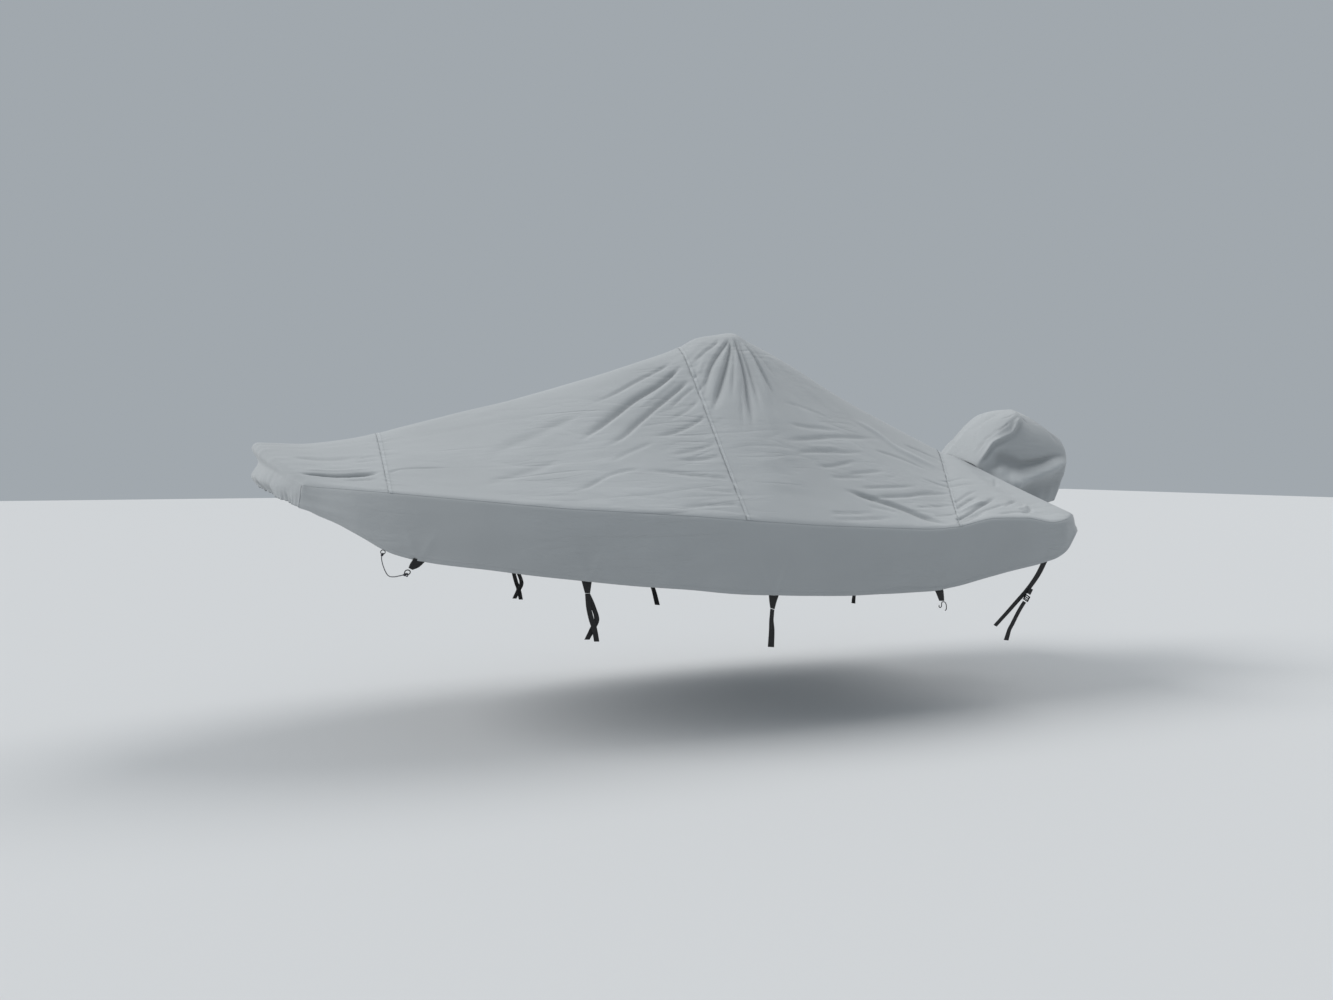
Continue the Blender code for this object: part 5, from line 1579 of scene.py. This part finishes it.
@dataclass
class TieDowns:
    """The webbing, rings, hooks and buckles along the hem of both sides."""

    seams: SeamWork
    webbing: float = 0.0018
    inset: float = 0.0035
    along: int = 26
    across: int = 9
    edge_round: float = 0.0005
    box_rows: tuple[int, int] = (13, 31)
    stitch_stand: float = 0.0012

    def strap(self, strap: Strap, side: Side, finishes: Finishes) -> bpy.types.Object:
        """Makes one strip of webbing on one side."""
        table, last = SmoothTable(strap.rungs), strap.rungs[-1].u
        a, b = np.meshgrid(np.linspace(0, last, self.along * last + 1), np.linspace(0, 1, self.across),
                           indexing="ij")
        fore, aft = table.point("fore_x y fore_z", a), table.point("aft_x y aft_z", a)
        points = fore + (aft - fore) * b[..., None]
        if strap.sewn:
            rise = points[0] - points[2]
            rise /= np.linalg.norm(rise, axis=-1, keepdims=True)
            steps = np.linspace(1, 0, 8)[:-1, None, None]
            tail = points[:1] + rise * strap.sewn * steps
            tail[..., 1] -= self.inset * ease(steps[..., 0] / 0.6)
            points = np.concatenate([tail, points])
        run = cumulative(points, 0)
        far = 3.0 * (side is Side.STARBOARD)
        curl = noise(run / 0.09 + far, run * 0 + 3, 61) + 0.4 * noise(run / 0.03, run * 0 + far, 62)
        points[..., 1] += strap.sag * curl * ease(run / 0.05)
        points[..., 1] += self.edge_round * arch(np.broadcast_to(np.linspace(0, 1, self.across), run.shape))
        points *= (1, side.value, 1)
        uv = np.stack([cumulative(points, 0), cumulative(points, 1)], -1)
        node = f"{strap.node}_{side.label}"
        order = slice(None) if side is Side.STARBOARD else slice(None, None, -1)
        mesh = grid_mesh(node, points[:, order], uv[:, order])
        piece = new_piece(node + "_webbing", mesh)
        thicken(piece, self.webbing, 0.0)
        dress(piece, finishes.webbing, Slot.WEBBING, node)
        if strap.sewn and strap.node != "stern_strap":
            self.sew(points, side)
        return piece

    def sew(self, points: Array, side: Side) -> None:
        """Marks the box of stitches that shuts a tab's loop."""
        top, low = self.box_rows
        outer = np.array((0, self.stitch_stand * side.value, 0))
        corners = [points[top, 1], points[top, -2], points[low, -2], points[low, 1], points[top, 1],
                   points[low, -2]]
        for start, end in zip(corners, corners[1:]):
            share = np.linspace(0, 1, 6)[:, None]
            self.seams.lines.append(start + (end - start) * share + outer)

    def build(self, finishes: Finishes) -> list[bpy.types.Object]:
        """Makes every strap and all the hardware."""
        made = []
        for side in Side:
            made += [self.strap(strap, side, finishes) for strap in STRAPS]
            made += [hardware.build(side, finishes) for hardware in (Ring(), Buckle(), Hook())]
        return made


@dataclass(frozen=True)
class Ring:
    """The ring at the end of a bow tab, which takes the bow cord."""

    centre: tuple[float, float, float] = (0.800, 0.680, 1.032)
    radius: float = 0.0150
    wire: float = 0.0030
    lean: float = math.radians(25)

    def build(self, side: Side, finishes: Finishes) -> bpy.types.Object:
        """Makes the ring on one side."""
        turn = np.linspace(0, 2 * math.pi, 48, endpoint=False)
        tip = math.pi / 2 - self.lean
        upward = np.array((0.0, math.cos(tip), side.value * math.sin(tip)))
        centre = np.array(self.centre) * (1, side.value, 1)
        forward = np.array((1.0, 0, 0))
        path = centre + self.radius * (np.cos(turn)[:, None] * forward + np.sin(turn)[:, None] * upward)
        node = f"cord_ring_{side.label}"
        piece = new_piece(node + "_round", swept(node, path, self.wire, 16, closed=True))
        return dress(piece, finishes.plastic, Slot.PLASTIC, node)


@dataclass(frozen=True)
class Buckle:
    """The ladder-lock buckle between a stern strap's branch and its tail."""

    centre: tuple[float, float, float] = (4.804, 0.990, 0.7325)
    width: float = 0.042
    height: float = 0.040
    depth: float = 0.009
    lean: float = math.radians(31)
    rail: float = 0.0055
    bars: tuple[tuple[float, float, float], ...] = (
        (0.0165, 0.0070, 0.0070), (0.0030, 0.0065, 0.0060),
        (-0.0085, 0.0055, 0.0050), (-0.0170, 0.0060, 0.0080),
    )

    @staticmethod
    def box(name: str, centre: tuple[float, float], size: tuple[float, float, float]) -> bpy.types.Mesh:
        """Returns a box, in the buckle's own directions."""
        mesh = bpy.data.meshes.new(name)
        corners = [(sx * size[0] / 2 + centre[0], sy * size[1] / 2, sz * size[2] / 2 + centre[1])
                   for sx in (-1, 1) for sy in (-1, 1) for sz in (-1, 1)]
        faces = [(0, 1, 3, 2), (4, 6, 7, 5), (0, 4, 5, 1), (2, 3, 7, 6), (0, 2, 6, 4), (1, 5, 7, 3)]
        mesh.from_pydata(corners, [], faces)
        return mesh

    def build(self, side: Side, finishes: Finishes) -> bpy.types.Object:
        """Makes the buckle on one side."""
        inner = self.width - self.rail
        size = (self.rail, self.depth, self.height)
        parts = [self.box("rail", (x * inner / 2, 0.0), size) for x in (-1, 1)]
        for height, tall, deep in self.bars:
            parts.append(self.box("bar", (0.0, height), (self.width - 0.002, deep, tall)))
        node = f"stern_buckle_{side.label}"
        piece = join(node + "_frame", parts)
        mesh = piece.data
        flat = np.empty(len(mesh.vertices) * 3, np.float32)
        mesh.vertices.foreach_get("co", flat)
        local = flat.reshape(-1, 3)
        across = np.array((math.cos(self.lean), 0, -math.sin(self.lean)))
        upward = np.array((math.sin(self.lean), 0, math.cos(self.lean)))
        centre = np.array(self.centre) * (1, side.value, 1) - PEAK
        outward = np.array((0, 1.0, 0))
        placed = centre + local[:, :1] * across + local[:, 1:2] * outward + local[:, 2:] * upward
        mesh.vertices.foreach_set("co", placed.astype(np.float32).ravel())
        mesh.update()
        edges = piece.modifiers.new("edges", "BEVEL")
        edges.width = 0.0011
        edges.segments = 3
        mesh.shade_smooth()
        return dress(piece, finishes.plastic, Slot.PLASTIC, node)


@dataclass(frozen=True)
class Hook:
    """The bent wire hook below a rear tab."""

    wire: float = 0.0028
    y: float = 1.040
    route: tuple[tuple[float, float], ...] = (
        (4.064, 0.7300), (4.062, 0.7210), (4.070, 0.7135), (4.080, 0.7190),
        (4.082, 0.7330), (4.084, 0.7460), (4.095, 0.7495), (4.108, 0.7450),
        (4.116, 0.7330), (4.119, 0.7150), (4.118, 0.7000), (4.110, 0.6920),
    )

    def build(self, side: Side, finishes: Finishes) -> bpy.types.Object:
        """Makes the hook on one side."""
        path = smooth_line([(x, side.value * self.y, z) for x, z in self.route], 8)
        node = f"rear_hook_{side.label}"
        piece = new_piece(node + "_wire", swept(node, path, self.wire, 14))
        return dress(piece, finishes.steel, Slot.STEEL, node)


@dataclass(frozen=True)
class BowCord:
    """The cord from ring to ring under the bow, with a knot at each end."""

    diameter: float = 0.006
    length: float = 1.34
    half: tuple[tuple[float, float, float], ...] = (
        (0.7900, 0.6560, 1.0180), (0.7760, 0.5200, 0.9970), (0.7680, 0.3500, 0.9740),
        (0.7640, 0.1800, 0.9560), (0.7630, 0.0600, 0.9480), (0.7630, 0.0000, 0.9465),
    )
    loop: tuple[tuple[float, float, float], ...] = (
        (0.7900, 0.6560, 1.0180), (0.7955, 0.6640, 1.0245), (0.8010, 0.6735, 1.0240),
        (0.8020, 0.6800, 1.0165), (0.7985, 0.6770, 1.0090), (0.7930, 0.6640, 1.0110),
        (0.7905, 0.6540, 1.0150),
    )
    wraps: float = 2.6
    wrap_from: tuple[float, float, float] = (0.7905, 0.6545, 1.0165)
    wrap_to: tuple[float, float, float] = (0.7882, 0.6330, 1.0140)
    wrap_radius: float = 0.0052
    wrap_thinning: float = 0.85

    def knot(self, side: Side) -> list[bpy.types.Mesh]:
        """Returns the loop round the ring and the turns that hold it, on one side."""
        mirror = np.array((1, side.value, 1))
        loop = swept("loop", smooth_line(self.loop, 8) * mirror, self.diameter / 2, 12)
        start, end = np.array(self.wrap_from), np.array(self.wrap_to)
        axis = (end - start) / np.linalg.norm(end - start)
        first = np.cross(axis, (0, 0, 1.0))
        first /= np.linalg.norm(first)
        second = np.cross(axis, first)
        s = np.linspace(0, 1, 60)[:, None]
        turn = s * self.wraps * 2 * math.pi
        coil = start + (end - start) * s + self.wrap_radius * (np.cos(turn) * first + np.sin(turn) * second)
        return [loop, swept("wraps", coil * mirror, self.diameter / 2 * self.wrap_thinning, 12)]

    def build(self, finishes: Finishes) -> bpy.types.Object:
        half = np.array(self.half)
        route = np.vstack([half * (1, -1, 1), half[-2::-1]])
        path = smooth_line(route, 14)
        cord = new_piece("bow_cord_line", swept("bow_cord", path, self.diameter / 2, 14))
        dress(cord, finishes.braid, Slot.BRAID, "bow_cord")
        for side in Side:
            knot = join(f"cord_knot_{side.label}", self.knot(side))
            dress(knot, finishes.braid, Slot.BRAID)
        return cord


# ----------------------------------------------------------------------------
# Studio
# ----------------------------------------------------------------------------


@dataclass(frozen=True)
class Lamp:
    """A distant, broad lamp: the direction it stands in, its strength, its breadth and its colour."""

    name: str
    toward: tuple[float, float, float]
    strength: float
    breadth: float
    colour: tuple[float, float, float]
    distance: float = 12.0

    def build(self) -> None:
        """Adds the lamp."""
        light = bpy.data.lights.new(self.name, "SUN")
        light.energy, light.angle, light.color = self.strength, math.radians(self.breadth), self.colour
        lamp = bpy.data.objects.new(self.name, light)
        lamp.location = Vector(self.toward) * self.distance
        lamp.rotation_euler = Vector(self.toward).to_track_quat("Z", "Y").to_euler()
        bpy.context.scene.collection.objects.link(lamp)


@dataclass(frozen=True)
class Studio:
    """The camera, the pale floor and the light."""

    camera_at: tuple[float, float, float] = (-2.9388072, -6.3267718, -0.9026813)
    heading: float = math.radians(21.323220)
    dip: float = math.radians(2.0730661)
    lens: float = 27.007
    sensor: float = 36.0
    floor_size: float = 90.0
    floor_colour: tuple[float, float, float] = (0.60, 0.61, 0.62)
    sky: tuple[float, float, float] = (0.88, 0.965, 1.04)
    sky_strength: float = 0.405
    lamps: tuple[Lamp, ...] = (
        Lamp("key", (-0.80, 0.10, 0.59), 2.10, 34.0, (1.0, 0.985, 0.965)),
        Lamp("back", (0.62, 0.16, 0.76), 1.20, 40.0, (1.0, 0.985, 0.965)),
    )

    def build(self) -> None:
        """Sets up the whole studio."""
        scene = bpy.context.scene
        scene.view_settings.view_transform = "Standard"
        view = bpy.data.cameras.new("view")
        view.lens, view.sensor_width, view.sensor_fit = self.lens, self.sensor, "HORIZONTAL"
        view.clip_start, view.clip_end = 0.1, 500.0
        camera = bpy.data.objects.new("view", view)
        forward = Vector((
            math.sin(self.heading) * math.cos(self.dip), math.cos(self.heading) * math.cos(self.dip),
            -math.sin(self.dip),
        ))
        camera.location = self.camera_at
        camera.rotation_euler = forward.to_track_quat("-Z", "Y").to_euler()
        scene.collection.objects.link(camera)
        scene.camera = camera
        self.floor()
        world = bpy.data.worlds.new("sky")
        world.use_nodes = True
        shade = world.node_tree.nodes["Background"]
        shade.inputs["Color"].default_value = (*self.sky, 1.0)
        shade.inputs["Strength"].default_value = self.sky_strength
        scene.world = world
        for lamp in self.lamps:
            lamp.build()

    def floor(self) -> None:
        """Adds the floor."""
        half, low = self.floor_size / 2, -PEAK[2]
        mesh = bpy.data.meshes.new("floor")
        mesh.from_pydata([(x * half, y * half, low) for x, y in ((-1, -1), (1, -1), (1, 1), (-1, 1))], [],
                         [(0, 1, 2, 3)])
        plane = new_piece("floor", mesh)
        paint = bpy.data.materials.new("floor_paint")
        paint.use_nodes = True
        shader = paint.node_tree.nodes["Principled BSDF"]
        shader.inputs["Base Color"].default_value = (*self.floor_colour, 1.0)
        shader.inputs["Roughness"].default_value = 0.9
        mesh.materials.append(paint)


# ----------------------------------------------------------------------------
# The cover
# ----------------------------------------------------------------------------


@dataclass
class BoatCover:
    """The whole cover: deck, side and transom panels, motor hood, tie-downs and bow cord."""

    finishes: Finishes
    shape: CoverShape = field(default_factory=CoverShape)
    cloth_seams: SeamWork = field(default_factory=lambda: SeamWork("seam_stitches"))
    strap_seams: SeamWork = field(
        default_factory=lambda: SeamWork("strap_stitches", pitch=0.0045, stitch=0.0034, thickness=0.0007))

    def build(self) -> None:
        """Makes every piece, then lays the stitches."""
        Deck(self.shape, self.cloth_seams).build(self.finishes)
        SidePanels(self.shape, self.cloth_seams).build(self.finishes)
        TransomPanels(self.shape, self.cloth_seams).build(self.finishes)
        MotorHood(self.shape, self.cloth_seams).build(self.finishes)
        TieDowns(self.strap_seams).build(self.finishes)
        BowCord().build(self.finishes)
        self.cloth_seams.build(self.finishes.seam_thread, Slot.CLOTH)
        self.strap_seams.build(self.finishes.strap_thread, Slot.WEBBING)


def main() -> None:
    """Builds the cover and its studio."""
    logging.basicConfig(level=logging.INFO, format="%(name)s: %(message)s")
    BoatCover(Finishes()).build()
    Studio().build()


if __name__ == "__main__":
    main()
